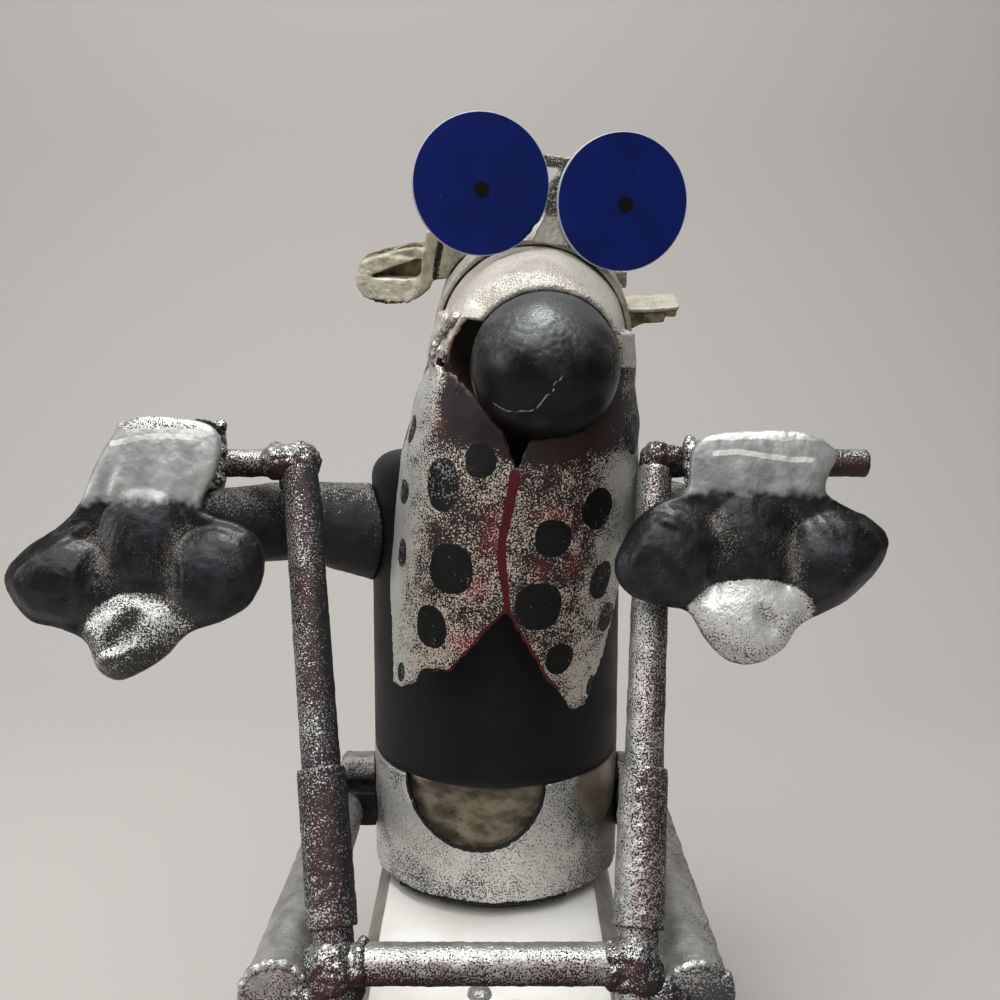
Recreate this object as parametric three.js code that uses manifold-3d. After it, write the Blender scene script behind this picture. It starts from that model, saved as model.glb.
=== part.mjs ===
// A dog welded from scrap: pipe, rod, sheet and a steel ball. It sits on a white seat and holds
// tall handlebars, which run down with its legs and the seat's posts to a low base plate.
// Millimetres, +Z up. The dog faces -Y, and "left" is the left side as seen from the front, -X.
// The origin is the middle of the base plate's underside.
import * as THREE from 'three';
import { mergeVertices } from 'three/addons/utils/BufferGeometryUtils.js';
import Module from 'manifold-3d';

const wasm = await Module();
wasm.setup();

// Air between pieces that touch, and the sheet that the mask and the skull are cut from.
const GAP = 0.3;
const SHEET = 2.2;

// Base plate and the two stub pipes that carry the seat.
const BASE_WIDTH = 180;
const BASE_DEPTH = 270;
const BASE_THICK = 6;
const BASE_CORNER = 14;
const POST_RADIUS = 24.15;
const POST_FRONT_Y = 8;
const POST_REAR_Y = 96;

// Seat: a thick pad, narrower than the body, with a flat top and flanks that swell outwards below it.
const SEAT_HEIGHT = 89;
const SEAT_INSET = 9.3;
const SEAT_FLARE = 8.5;
const SEAT_DEEP = 34;
const SEAT_LENGTH = 156;
const SEAT_MID_Y = 53;
const SEAT_EDGE = 2;
const BOLT_RADIUS = 4.2;
const BOLT_RISE = 2.4;
const BOLT_X = -5.3;
const BOLT_Y = -14;

// Body: a 4-inch cylinder that leans back, cut level where it stands on the seat.
const BODY_RADIUS = 50.8;
const BODY_HEIGHT = 171;
const BODY_LEAN = 5.5;
const BODY_Y = 80;
const SHOULDER_ROUND = 10;
const BAND_HEIGHT = 50;
const BAND_WALL = 2.5;
const BELLY_CUT_RADIUS = 26.5;
const BELLY_CUT_X = -8;

// Handlebars: two raked uprights in half-inch rod, a crossbar, sleeves and thinner grips.
const ROD_RADIUS = 6.35;
const SLEEVE_RADIUS = 7.95;
const SLEEVE_LENGTH = 49;
const GRIP_RADIUS = 5;
const GRIP_HEIGHT = 263;
const GRIP_Y = 45;
const CROSSBAR_HEIGHT = 121;
const CROSSBAR_Y = -42;
const GRIP_OVERHANG = 5;

// Legs: fat thigh pipes beside the body, shins and plain rounded feet.
const THIGH_HEIGHT = 113;
const THIGH_HIP_RADIUS = 9.6;
const THIGH_KNEE_RADIUS = 10.6;
const KNEE_Y = -47;
const HIP_Y = 81;
const HIP_BLOCK_DEPTH = 24;
const HIP_BLOCK_HEIGHT = 15;
const HIP_BOSS_RADIUS = 6;
const SHIN_RADIUS = 8.5;
const FOOT_LENGTH = 64;
const FOOT_WIDTH = 34;
const FOOT_HEIGHT = 16;
const FOOT_ROUND = 4;

// Arms: a tapered upper arm into a forearm that reaches forward to the hand.
const SHOULDER_DROP = 34;
const SHOULDER_RADIUS = 21;
const ELBOW_RADIUS = 15;
const FOREARM_RADIUS = 15.6;
const WRIST_RADIUS = 12.5;

// Hands: hammered sheet, leaning with their fingers towards the front.
const HAND_LEAN = 12;
const HAND_THICK = 8;
const HAND_EDGE = 2.6;
const HAND_Y = 9;
const HAND_BELOW_GRIP = 21.5;
const CUFF_BELOW_TOP = 24;

// Head: rolled to one side, a skull pipe tipped down at the front, and a ball for a nose.
const HEAD_X = 13.1;
const HEAD_FORWARD = 37.4;
const HEAD_RISE = 36;
const HEAD_ROLL = 6;
const SKULL_RADIUS = 38.1;
const SKULL_PITCH = 14;
const SKULL_RISE = 5.7;
const SKULL_FRONT = 20;
const SKULL_LENGTH = 42;
const HOOD_MOUTH_RADIUS = 32;
const HOOD_REACH = 22;
const HOOD_TUCK = 8;
const NECK_RADIUS = 20;
const NOSE_RADIUS = 25.4;
const NOSE_X = 3.5;
const NOSE_Y = -31.3;
const NOSE_Z = 4.3;
const JOWL_LENGTH = 122;

// Eyes: two discs on a torch-cut bracket, set a little askew to the head.
const EYE_RADIUS = 24.8;
const EYE_THICK = 2.5;
const EYE_SPACING = 53.1;
const EYE_HEIGHT = 63.7;
const EYE_X = 1;
const EYE_Y = 6;
const EYE_YAW = 11.7;
const BRACKET_THICK = 3.2;

// Ears: scraps of plate on the sides of the skull.
const EAR_FRONT = 38;
const EAR_DEPTH = 18;
const EAR_TIP = 57;
const EAR_BEND = 52.5;
const EAR_UNDER = 6.5;
const EAR_SLOPE = 0.15;

const ROUND = 32;
const ROD_SIDES = 14;
const FAR = 400;
const UP = new THREE.Vector3(0, 0, 1);

const baseTop = BASE_THICK;
const seatTop = baseTop + SEAT_HEIGHT;
const point = (x, y, z) => new THREE.Vector3(x, y, z);
const radians = (degrees) => THREE.MathUtils.degToRad(degrees);

// Finishes, one material for each piece.
const FINISHES = {
  silver: { color: 0xa9a9a8, roughness: 0.45, metalness: 0.8 },
  darkSilver: { color: 0x6d6f70, roughness: 0.5, metalness: 0.75 },
  black: { color: 0x1b1c20, roughness: 0.7, metalness: 0.1 },
  white: { color: 0xf0eee6, roughness: 0.5, metalness: 0.0 },
  brown: { color: 0x7d715f, roughness: 0.5, metalness: 0.6 },
  blue: { color: 0x10206a, roughness: 0.6, metalness: 0.1 },
  charcoal: { color: 0x2b2e32, roughness: 0.55, metalness: 0.4 },
  bone: { color: 0xc9c6b8, roughness: 0.6, metalness: 0.4 },
};

function piece(name, geometry, finish) {
  geometry.computeVertexNormals();
  const mesh = new THREE.Mesh(geometry, new THREE.MeshStandardMaterial(FINISHES[finish]));
  mesh.name = name;
  return mesh;
}

// A closed geometry as a solid that can be cut and joined, and the way back.
function solid(geometry) {
  const bare = geometry.clone();
  bare.deleteAttribute('normal');
  bare.deleteAttribute('uv');
  const merged = mergeVertices(bare, 1e-4);
  return new wasm.Manifold(new wasm.Mesh({
    numProp: 3,
    vertProperties: new Float32Array(merged.attributes.position.array),
    triVerts: new Uint32Array(merged.index.array),
  }));
}

function shape(manifold) {
  const mesh = manifold.getMesh();
  const geometry = new THREE.BufferGeometry();
  geometry.setAttribute('position', new THREE.BufferAttribute(new Float32Array(mesh.vertProperties), 3));
  geometry.setIndex(new THREE.BufferAttribute(new Uint32Array(mesh.triVerts), 1));
  return geometry;
}

const moved = (geometry, matrix) => geometry.clone().applyMatrix4(matrix);

function frame(position, degreesX = 0, degreesY = 0, degreesZ = 0) {
  const turn = new THREE.Euler(radians(degreesX), radians(degreesY), radians(degreesZ));
  const matrix = new THREE.Matrix4().makeRotationFromEuler(turn);
  return matrix.setPosition(position);
}

function group(name, matrix) {
  const made = new THREE.Group();
  made.name = name;
  made.applyMatrix4(matrix);
  return made;
}

// A closed turned form about +Z from its profile of [radius, height] corners, listed upwards outside.
function turned(profile, sides = ROUND) {
  const corners = profile.map(([radius, height]) => new THREE.Vector2(radius, height));
  if (profile[0][0] > 0) corners.push(corners[0].clone());
  return new THREE.LatheGeometry(corners, sides).rotateX(Math.PI / 2);
}

// A round bar, tapered where its two radii differ.
function bar(from, to, radiusFrom, radiusTo = radiusFrom, sides = ROD_SIDES) {
  const along = to.clone().sub(from);
  const middle = from.clone().add(to).multiplyScalar(0.5);
  const turn = new THREE.Quaternion().setFromUnitVectors(UP, along.clone().normalize());
  const matrix = new THREE.Matrix4().compose(middle, turn, point(1, 1, 1));
  const geometry = new THREE.CylinderGeometry(radiusTo, radiusFrom, along.length(), sides);
  return geometry.rotateX(Math.PI / 2).applyMatrix4(matrix);
}

function block(low, high) {
  const size = high.clone().sub(low);
  const middle = low.clone().add(high).multiplyScalar(0.5);
  return new THREE.BoxGeometry(size.x, size.y, size.z).translate(middle.x, middle.y, middle.z);
}

// An outline of [x, z] corners, made a plate from the front, y = front, to the back.
function plate(outline, front, back, holes = []) {
  const flat = new THREE.Shape(outline.map(([x, z]) => new THREE.Vector2(x, z)));
  for (const hole of holes) flat.holes.push(new THREE.Path(hole.map(([x, z]) => new THREE.Vector2(x, z))));
  const geometry = new THREE.ExtrudeGeometry(flat, { depth: back - front, bevelEnabled: false });
  return geometry.rotateX(Math.PI / 2).translate(0, back, 0);
}

const dog = new THREE.Group();
dog.name = 'scrap_metal_dog';

// Base plate
function roundedRectangle(width, depth, corner) {
  const half = { x: width / 2 - corner, y: depth / 2 - corner };
  const outline = new THREE.Shape();
  outline.absarc(half.x, half.y, corner, 0, Math.PI / 2);
  outline.absarc(-half.x, half.y, corner, Math.PI / 2, Math.PI);
  outline.absarc(-half.x, -half.y, corner, Math.PI, Math.PI * 1.5);
  outline.absarc(half.x, -half.y, corner, Math.PI * 1.5, Math.PI * 2);
  return outline;
}

const baseOutline = roundedRectangle(BASE_WIDTH, BASE_DEPTH, BASE_CORNER);
const baseShape = new THREE.ExtrudeGeometry(baseOutline, {
  depth: BASE_THICK, bevelEnabled: false, curveSegments: 4,
});
dog.add(piece('base_plate', baseShape, 'darkSilver'));

// Seat and its posts
const seatBottom = seatTop - SEAT_DEEP;
for (const [name, y] of [['seat_post_front', POST_FRONT_Y], ['seat_post_rear', POST_REAR_Y]]) {
  const post = bar(point(0, y, baseTop + GAP), point(0, y, seatBottom - GAP), POST_RADIUS, POST_RADIUS, ROUND);
  dog.add(piece(name, post, 'darkSilver'));
}

function seatGeometry() {
  const half = BODY_RADIUS - SEAT_INSET - SEAT_EDGE;
  const wide = half + SEAT_FLARE;
  const low = SEAT_EDGE - SEAT_DEEP;
  const outline = new THREE.Shape();
  outline.moveTo(half, -SEAT_EDGE);
  outline.lineTo(-half, -SEAT_EDGE);
  outline.quadraticCurveTo(-half - SEAT_FLARE * 0.7, -SEAT_DEEP * 0.15, -wide, -SEAT_DEEP * 0.6);
  outline.lineTo(-wide + SEAT_FLARE / 2, low);
  outline.lineTo(wide - SEAT_FLARE / 2, low);
  outline.lineTo(wide, -SEAT_DEEP * 0.6);
  outline.quadraticCurveTo(half + SEAT_FLARE * 0.7, -SEAT_DEEP * 0.15, half, -SEAT_EDGE);
  const extruded = new THREE.ExtrudeGeometry(outline, {
    depth: SEAT_LENGTH - 2 * SEAT_EDGE, curveSegments: 6,
    bevelThickness: SEAT_EDGE, bevelSize: SEAT_EDGE, bevelSegments: 2,
  });
  return extruded.rotateX(Math.PI / 2).translate(0, SEAT_MID_Y + SEAT_LENGTH / 2 - SEAT_EDGE, seatTop);
}
dog.add(piece('seat', seatGeometry(), 'white'));

const boltHead = turned([[0, 0], [BOLT_RADIUS, 0], [BOLT_RADIUS * 0.8, BOLT_RISE * 0.7], [0, BOLT_RISE]], 12);
const bolt = piece('seat_bolt', boltHead, 'silver');
bolt.position.set(BOLT_X, BOLT_Y, seatTop + GAP);
dog.add(bolt);

// Body: a silver band over a brown core, and the black cylinder above them
const bodyFrame = frame(point(0, BODY_Y, seatTop), -BODY_LEAN);
const bodyAxis = (height) => point(0, 0, height).applyMatrix4(bodyFrame);
const body = group('body', bodyFrame);
const heel = BODY_RADIUS * Math.tan(radians(BODY_LEAN)) + 1;
const seatBlock = block(point(-FAR, -FAR, -FAR), point(FAR, FAR, seatTop + GAP));
const seatCut = solid(moved(seatBlock, bodyFrame.clone().invert()));
const bandInner = BODY_RADIUS - BAND_WALL;
const bandTop = BAND_HEIGHT - GAP;

const bandRing = solid(turned([
  [BODY_RADIUS, -heel], [BODY_RADIUS, bandTop], [bandInner, bandTop], [bandInner, -heel],
]));
const bellyCut = solid(bar(
  point(BELLY_CUT_X, -BODY_RADIUS * 2, BAND_HEIGHT), point(BELLY_CUT_X, 0, BAND_HEIGHT),
  BELLY_CUT_RADIUS, BELLY_CUT_RADIUS, 24,
));
body.add(piece('body_band', shape(bandRing.subtract(seatCut).subtract(bellyCut)), 'silver'));

const coreRadius = bandInner - GAP;
const core = solid(turned([[0, -heel], [coreRadius, -heel], [coreRadius, bandTop], [0, bandTop]]));
body.add(piece('body_core', shape(core.subtract(seatCut)), 'brown'));

const shoulderSteps = 4;
const drum = [[0, BAND_HEIGHT], [BODY_RADIUS, BAND_HEIGHT]];
for (let step = 0; step <= shoulderSteps; step += 1) {
  const angle = (Math.PI / 2) * (step / shoulderSteps);
  drum.push([
    BODY_RADIUS - SHOULDER_ROUND * (1 - Math.cos(angle)),
    BODY_HEIGHT - SHOULDER_ROUND * (1 - Math.sin(angle)),
  ]);
}
drum.push([0, BODY_HEIGHT]);
body.add(piece('body_drum', turned(drum), 'black'));
dog.add(body);

// The room that the body takes, for what is fitted against it
const bodyRoom = solid(moved(turned([
  [0, -heel], [BODY_RADIUS + GAP, -heel], [BODY_RADIUS + GAP, BODY_HEIGHT + GAP], [0, BODY_HEIGHT + GAP],
], ROUND * 2), bodyFrame));

// Handlebars
const crossbarLevel = baseTop + CROSSBAR_HEIGHT;
const gripLevel = baseTop + GRIP_HEIGHT;
const SIDES = {
  left: {
    out: -1, barLow: -49.3, barHigh: -70.9, gripEnd: -131, thigh: -67.3, hip: -64.3, foot: -71,
    elbow: [-76.3, 69], wrist: [-112, 20], hand: -119.3,
  },
  right: {
    out: 1, barLow: 44.1, barHigh: 57.7, gripEnd: 134.6, thigh: 62.6, hip: 61.2, foot: 67,
    elbow: [66, 69], wrist: [87, 20], hand: 85,
  },
};

function uprightAt(side, level) {
  const share = (level - crossbarLevel) / (gripLevel - crossbarLevel);
  return point(
    side.barLow + (side.barHigh - side.barLow) * share,
    CROSSBAR_Y + (GRIP_Y - CROSSBAR_Y) * share,
    level,
  );
}

const gripLine = (side) => [
  point(side.barHigh - side.out * GRIP_OVERHANG, GRIP_Y, gripLevel), point(side.gripEnd, GRIP_Y, gripLevel),
];
const floorCut = solid(block(point(-FAR, -FAR, -FAR), point(FAR, FAR, baseTop + GAP)));

for (const [name, side] of Object.entries(SIDES)) {
  const [gripFrom, gripTo] = gripLine(side);
  const gripRoom = solid(bar(gripFrom, gripTo, GRIP_RADIUS + GAP));
  const aboveGrip = solid(block(point(-FAR, -FAR, gripLevel), point(FAR, FAR, FAR * 2)));
  const run = solid(bar(uprightAt(side, baseTop - 12), uprightAt(side, gripLevel + 4), ROD_RADIUS));
  const upright = run.subtract(floorCut).subtract(aboveGrip).subtract(gripRoom);
  dog.add(piece(`upright_${name}`, shape(upright), 'silver'));
  dog.add(piece(`grip_${name}`, bar(gripFrom, gripTo, GRIP_RADIUS), 'silver'));

  const low = uprightAt(side, crossbarLevel);
  const along = uprightAt(side, gripLevel).sub(low).normalize();
  const sleeveStart = low.clone().addScaledVector(along, ROD_RADIUS + SLEEVE_RADIUS / 2);
  const ring = turned([
    [SLEEVE_RADIUS, 0], [SLEEVE_RADIUS, SLEEVE_LENGTH],
    [ROD_RADIUS + GAP, SLEEVE_LENGTH], [ROD_RADIUS + GAP, 0],
  ], ROD_SIDES + 2);
  const sleeve = piece(`sleeve_${name}`, ring, 'silver');
  sleeve.position.copy(sleeveStart);
  sleeve.quaternion.setFromUnitVectors(UP, along);
  dog.add(sleeve);
}

const crossbarRun = solid(bar(
  point(SIDES.left.barLow, CROSSBAR_Y, crossbarLevel), point(SIDES.right.barLow, CROSSBAR_Y, crossbarLevel),
  ROD_RADIUS,
));
const uprightRoom = (side) => solid(bar(
  uprightAt(side, crossbarLevel - 3 * ROD_RADIUS), uprightAt(side, crossbarLevel + 3 * ROD_RADIUS),
  ROD_RADIUS + GAP,
));
const crossbar = crossbarRun.subtract(uprightRoom(SIDES.left)).subtract(uprightRoom(SIDES.right));
dog.add(piece('crossbar', shape(crossbar), 'silver'));

// Legs
const thighLevel = baseTop + THIGH_HEIGHT;
const blockHalf = HIP_BLOCK_DEPTH / 2;
function footGeometry() {
  const outline = roundedRectangle(FOOT_WIDTH - 2 * FOOT_ROUND, FOOT_LENGTH - 2 * FOOT_ROUND, FOOT_WIDTH / 3);
  return new THREE.ExtrudeGeometry(outline, {
    depth: FOOT_HEIGHT - 2 * FOOT_ROUND, curveSegments: 3,
    bevelThickness: FOOT_ROUND, bevelSize: FOOT_ROUND, bevelSegments: 2,
  }).translate(0, 0, FOOT_ROUND);
}

for (const [name, side] of Object.entries(SIDES)) {
  const hipEnd = point(side.hip, HIP_Y - blockHalf - GAP, thighLevel);
  const kneeEnd = point(side.thigh, KNEE_Y, thighLevel);
  const thigh = bar(hipEnd, kneeEnd, THIGH_HIP_RADIUS, THIGH_KNEE_RADIUS, 18);
  dog.add(piece(`thigh_${name}`, thigh, 'silver'));

  const blockOut = side.hip + side.out * THIGH_HIP_RADIUS / 3;
  const hipBlock = solid(block(
    point(Math.min(0, blockOut), HIP_Y - blockHalf, thighLevel - HIP_BLOCK_HEIGHT / 2),
    point(Math.max(0, blockOut), HIP_Y + blockHalf, thighLevel + HIP_BLOCK_HEIGHT / 2),
  ));
  dog.add(piece(`hip_block_${name}`, shape(hipBlock.subtract(bodyRoom)), 'black'));

  const bossLevel = thighLevel + HIP_BLOCK_HEIGHT / 2 + GAP + HIP_BOSS_RADIUS;
  const boss = solid(bar(
    point(0, HIP_Y, bossLevel), point(side.hip + side.out, HIP_Y, bossLevel), HIP_BOSS_RADIUS,
  ));
  dog.add(piece(`hip_boss_${name}`, shape(boss.subtract(bodyRoom)), 'silver'));

  const footTop = baseTop + GAP + FOOT_HEIGHT;
  const shinTop = point(side.thigh, KNEE_Y + THIGH_KNEE_RADIUS, thighLevel);
  const shinFoot = point(side.foot, KNEE_Y, footTop - 4);
  const thighRoom = solid(bar(hipEnd, kneeEnd, THIGH_HIP_RADIUS + GAP, THIGH_KNEE_RADIUS + GAP, 36));
  const footCut = solid(block(point(-FAR, -FAR, -FAR), point(FAR, FAR, footTop + GAP)));
  const shin = solid(bar(shinFoot, shinTop, SHIN_RADIUS)).subtract(thighRoom).subtract(footCut);
  dog.add(piece(`shin_${name}`, shape(shin), 'silver'));

  const foot = piece(`foot_${name}`, footGeometry(), 'black');
  foot.position.set(side.foot, KNEE_Y - FOOT_LENGTH / 4, baseTop + GAP);
  dog.add(foot);
}

// Hands: an outline through hand-cut points, domed pads, and a cuff that folds back over the grip.
const HANDS = {
  left: {
    outline: [
      [-3, 40.7], [5, 43], [23, 40.7], [28.5, 35], [27.3, 26], [22, 13.5], [27, 9.3], [34, 7.3], [40.3, 3],
      [43, -3.5], [42, -12], [37.5, -20], [28.7, -25.3], [18, -29], [10, -37], [0.7, -42.7], [-6, -44.5],
      [-12, -41], [-16, -31.7], [-25.3, -27.3], [-34, -25], [-41, -17], [-42.6, -9], [-36, -1], [-24, 7.3],
      [-18, 14], [-14.7, 22.3], [-9.5, 33],
    ],
    pads: [[-23, -10, 16, 13, 6], [22, -8, 17, 12, 6], [-4, -32, 9, 10, 5], [4, 14, 15, 14, 3]],
    cuff: [-7, 26],
  },
  right: {
    outline: [
      [-19.3, 32.7], [-12, 37], [8, 38.3], [19, 37], [28, 31.3], [25.5, 23.5], [24, 18.3], [30.3, 13.3],
      [38.3, 9.7], [45, 3], [43, -6], [37, -13], [30, -19], [21, -23.5], [15, -27], [10, -34.5],
      [0.3, -39.3], [-9, -37.5], [-16, -30], [-20.7, -22.3], [-28, -20.3], [-37, -18], [-43.5, -13],
      [-45.2, -5], [-40, 6], [-33, 13], [-22, 18], [-20.7, 25],
    ],
    pads: [[-23, -5, 17, 12, 6], [25, -4, 16, 12, 6], [0, -28, 10, 9, 5], [3, 14, 16, 13, 3]],
    cuff: [-18, 25],
  },
};

function handSolid(hand) {
  const outline = new THREE.Shape();
  const corners = hand.outline.map(([x, z]) => new THREE.Vector2(x, z));
  outline.moveTo(corners[0].x, corners[0].y);
  outline.splineThru([...corners.slice(1), corners[0]]);
  const sheet = new THREE.ExtrudeGeometry(outline, {
    depth: HAND_THICK - 2 * HAND_EDGE, curveSegments: 1,
    bevelThickness: HAND_EDGE, bevelSize: HAND_EDGE, bevelOffset: -HAND_EDGE, bevelSegments: 2,
  });
  let made = solid(sheet.rotateX(Math.PI / 2).translate(0, HAND_THICK / 2 - HAND_EDGE, 0));
  for (const [x, z, halfWidth, halfHeight, rise] of hand.pads) {
    const dome = new THREE.SphereGeometry(1, 14, 8).scale(halfWidth, rise, halfHeight);
    made = made.add(solid(dome.translate(x, -HAND_THICK / 2 + HAND_EDGE / 2, z)));
  }
  return made;
}

const handLevel = gripLevel - HAND_BELOW_GRIP;
for (const [name, side] of Object.entries(SIDES)) {
  const hand = HANDS[name];
  const handFrame = frame(point(side.hand, HAND_Y, handLevel), -HAND_LEAN);
  const intoHand = handFrame.clone().invert();
  const topEdge = Math.max(...hand.outline.map(([, z]) => z));
  const [gripFrom, gripTo] = gripLine(side);
  const gripRoom = bar(gripFrom, gripTo, GRIP_RADIUS + GAP);
  const gripY = point(side.hand, GRIP_Y, gripLevel).applyMatrix4(intoHand).y;
  const cuff = solid(block(
    point(hand.cuff[0], 0, topEdge - CUFF_BELOW_TOP), point(hand.cuff[1], gripY, topEdge - HAND_EDGE),
  ));
  const made = handSolid(hand).add(cuff).subtract(solid(moved(gripRoom, intoHand)));
  const mesh = piece(`hand_${name}`, shape(made), 'black');
  mesh.applyMatrix4(handFrame);
  dog.add(mesh);

  // The arm from the shoulder to the back of the palm
  const shoulder = bodyAxis(BODY_HEIGHT - SHOULDER_DROP);
  const elbow = point(side.elbow[0], side.elbow[1], shoulder.z + 11);
  const wrist = point(side.wrist[0], side.wrist[1], handLevel + 2);
  const start = point(side.out * BODY_RADIUS * 0.8, shoulder.y - 3, shoulder.z);
  const upperArm = solid(bar(start, elbow, SHOULDER_RADIUS, ELBOW_RADIUS, 20)).subtract(bodyRoom);
  dog.add(piece(`upper_arm_${name}`, shape(upperArm), 'darkSilver'));

  const upperRoom = solid(bar(start, elbow, SHOULDER_RADIUS + GAP, ELBOW_RADIUS + GAP, 20));
  const reach = wrist.clone().sub(elbow).normalize();
  const past = wrist.clone().addScaledVector(reach, HAND_THICK * 2);
  const before = elbow.clone().addScaledVector(reach, -ELBOW_RADIUS / 2);
  const palmBlock = block(point(-FAR, -FAR, -FAR), point(FAR, HAND_THICK / 2 + GAP, FAR));
  const palmCut = solid(moved(palmBlock, handFrame));
  const forearm = solid(bar(before, past, FOREARM_RADIUS, WRIST_RADIUS, 20));
  const cuffRoom = solid(moved(block(
    point(hand.cuff[0] - GAP, 0, topEdge - CUFF_BELOW_TOP - GAP), point(hand.cuff[1] + GAP, FAR, FAR),
  ), handFrame));
  const fitted = forearm.subtract(upperRoom).subtract(palmCut).subtract(cuffRoom).subtract(solid(gripRoom));
  dog.add(piece(`forearm_${name}`, shape(fitted), 'darkSilver'));
}

// Head
const bodyTop = bodyAxis(BODY_HEIGHT);
const headFrame = frame(point(HEAD_X, bodyTop.y - HEAD_FORWARD, bodyTop.z + HEAD_RISE), 0, HEAD_ROLL);
const head = group('head', headFrame);
const skullFrame = frame(point(0, 0, SKULL_RISE), SKULL_PITCH);
const skullWorld = headFrame.clone().multiply(skullFrame);
const skullBack = SKULL_FRONT + SKULL_LENGTH;
const alongSkull = frame(point(0, 0, 0), -90);

// A turned form whose heights run along the skull, towards the back
const skullTurned = (profile, sides) => moved(turned(profile, sides), alongSkull);

const skullInner = SKULL_RADIUS - SHEET;
const skull = skullTurned([
  [skullInner, SKULL_FRONT], [SKULL_RADIUS, SKULL_FRONT], [SKULL_RADIUS, skullBack],
  [0, skullBack], [0, skullBack - SHEET], [skullInner, skullBack - SHEET],
]);
const skullMesh = piece('skull', skull, 'bone');
skullMesh.applyMatrix4(skullFrame);
head.add(skullMesh);
const skullRoomGeometry = skullTurned([
  [0, SKULL_FRONT - GAP], [SKULL_RADIUS + GAP, SKULL_FRONT - GAP],
  [SKULL_RADIUS + GAP, skullBack + GAP], [0, skullBack + GAP],
], ROUND * 2);

const neckFoot = bodyAxis(BODY_HEIGHT - SHOULDER_ROUND);
const neckHead = point(0, SKULL_FRONT + SKULL_LENGTH / 2, 0).applyMatrix4(skullWorld);
const neckRun = solid(bar(neckFoot, neckHead, NECK_RADIUS, NECK_RADIUS, 20));
const neck = neckRun.subtract(bodyRoom).subtract(solid(moved(skullRoomGeometry, skullWorld)));
dog.add(piece('neck', shape(neck), 'darkSilver'));

// Nose
const nose = piece('nose_ball', new THREE.SphereGeometry(NOSE_RADIUS, 24, 16), 'charcoal');
nose.position.set(NOSE_X, NOSE_Y, NOSE_Z);
head.add(nose);
const noseRoom = solid(new THREE.SphereGeometry(NOSE_RADIUS + GAP, 32, 24).translate(NOSE_X, NOSE_Y, NOSE_Z));

// Mask: a hood tucked into the skull's mouth, and jowls cut from a flared half pipe.
const JOWL_RADII = [[45, -JOWL_LENGTH], [45, -58], [44.6, -38], [42.3, -18], [38.4, 2], [36.4, 18]];
const jowlProfile = [...JOWL_RADII, ...JOWL_RADII.map(([r, z]) => [r - SHEET, z]).reverse()];
const CUT_LOW = -150;
const CUT_HIGH = 30;
const JOWL_LOWER_EDGE = [
  [-60, -119], [-38.9, -118.5], [-31.1, -113.6], [-22.7, -105.7], [-18.1, -105], [-10.7, -93.3], [-1.4, -79.5],
  [0.8, -81], [10, -94.8], [19.7, -107.3], [28.2, -115.6], [60, -116], [60, CUT_LOW], [-60, CUT_LOW],
];
const NOSE_OPENING = [
  [-32, CUT_HIGH], [-33.3, 6.7], [-31.9, -1.5], [-25.5, -3.6], [-18, -8.7], [-13.3, -14.2], [-8.5, -18.5],
  [-2.5, -30.8], [0.6, -21.8], [9, -20], [17, -16.5], [23, -10.5], [26.5, -2], [27.5, 6], [26, 16], [22, CUT_HIGH],
];
const JOWL_SIDE_EDGES = {
  left: [[18, CUT_HIGH], [18, -8], [-2, -38], [-3.5, -77], [-17, -96], [-22.5, -118.5], [-22.5, CUT_LOW]],
  right: [
    [18, CUT_HIGH], [18, -8], [-6, -36], [-7, -52], [-20.5, -74], [-27, -100], [-31.5, -115], [-31.5, CUT_LOW],
  ],
};

// Cuts away what lies behind a side edge of [y, z] corners, on one side of the face.
function behind(edge, out) {
  const outline = [...edge, [FAR / 4, CUT_LOW], [FAR / 4, CUT_HIGH]];
  const slab = plate(outline, 0, FAR / 4);
  const sideways = frame(point(out > 0 ? FAR / 4 : 0, 0, 0), 0, 0, 90);
  return solid(moved(slab, sideways));
}

function maskSolid() {
  const jowls = solid(turned(jowlProfile, ROUND + 8))
    .subtract(solid(plate(JOWL_LOWER_EDGE, -FAR / 4, FAR / 4)))
    .subtract(solid(plate(NOSE_OPENING, -FAR / 4, 0)))
    .subtract(behind(JOWL_SIDE_EDGES.left, -1))
    .subtract(behind(JOWL_SIDE_EDGES.right, 1));
  const hoodRadius = skullInner - GAP;
  const hoodCone = solid(skullTurned([
    [HOOD_MOUTH_RADIUS - SHEET, -HOOD_REACH], [HOOD_MOUTH_RADIUS, -HOOD_REACH],
    [hoodRadius, SKULL_FRONT - SHEET], [hoodRadius, SKULL_FRONT + HOOD_TUCK],
    [hoodRadius - SHEET, SKULL_FRONT + HOOD_TUCK], [hoodRadius - SHEET, SKULL_FRONT - SHEET],
  ], ROUND + 8));
  const lowerHalf = solid(block(point(-FAR, -FAR, -FAR), point(FAR, FAR, 1)));
  const hood = solid(moved(shape(hoodCone.subtract(lowerHalf)), skullFrame));
  const skullWall = solid(moved(skullTurned([
    [skullInner - GAP / 2, SKULL_FRONT - GAP], [SKULL_RADIUS + GAP, SKULL_FRONT - GAP],
    [SKULL_RADIUS + GAP, skullBack], [skullInner - GAP / 2, skullBack],
  ], ROUND + 8), skullFrame));
  return jowls.add(hood).subtract(skullWall).subtract(noseRoom);
}
head.add(piece('face_mask', shape(maskSolid()), 'silver'));

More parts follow.
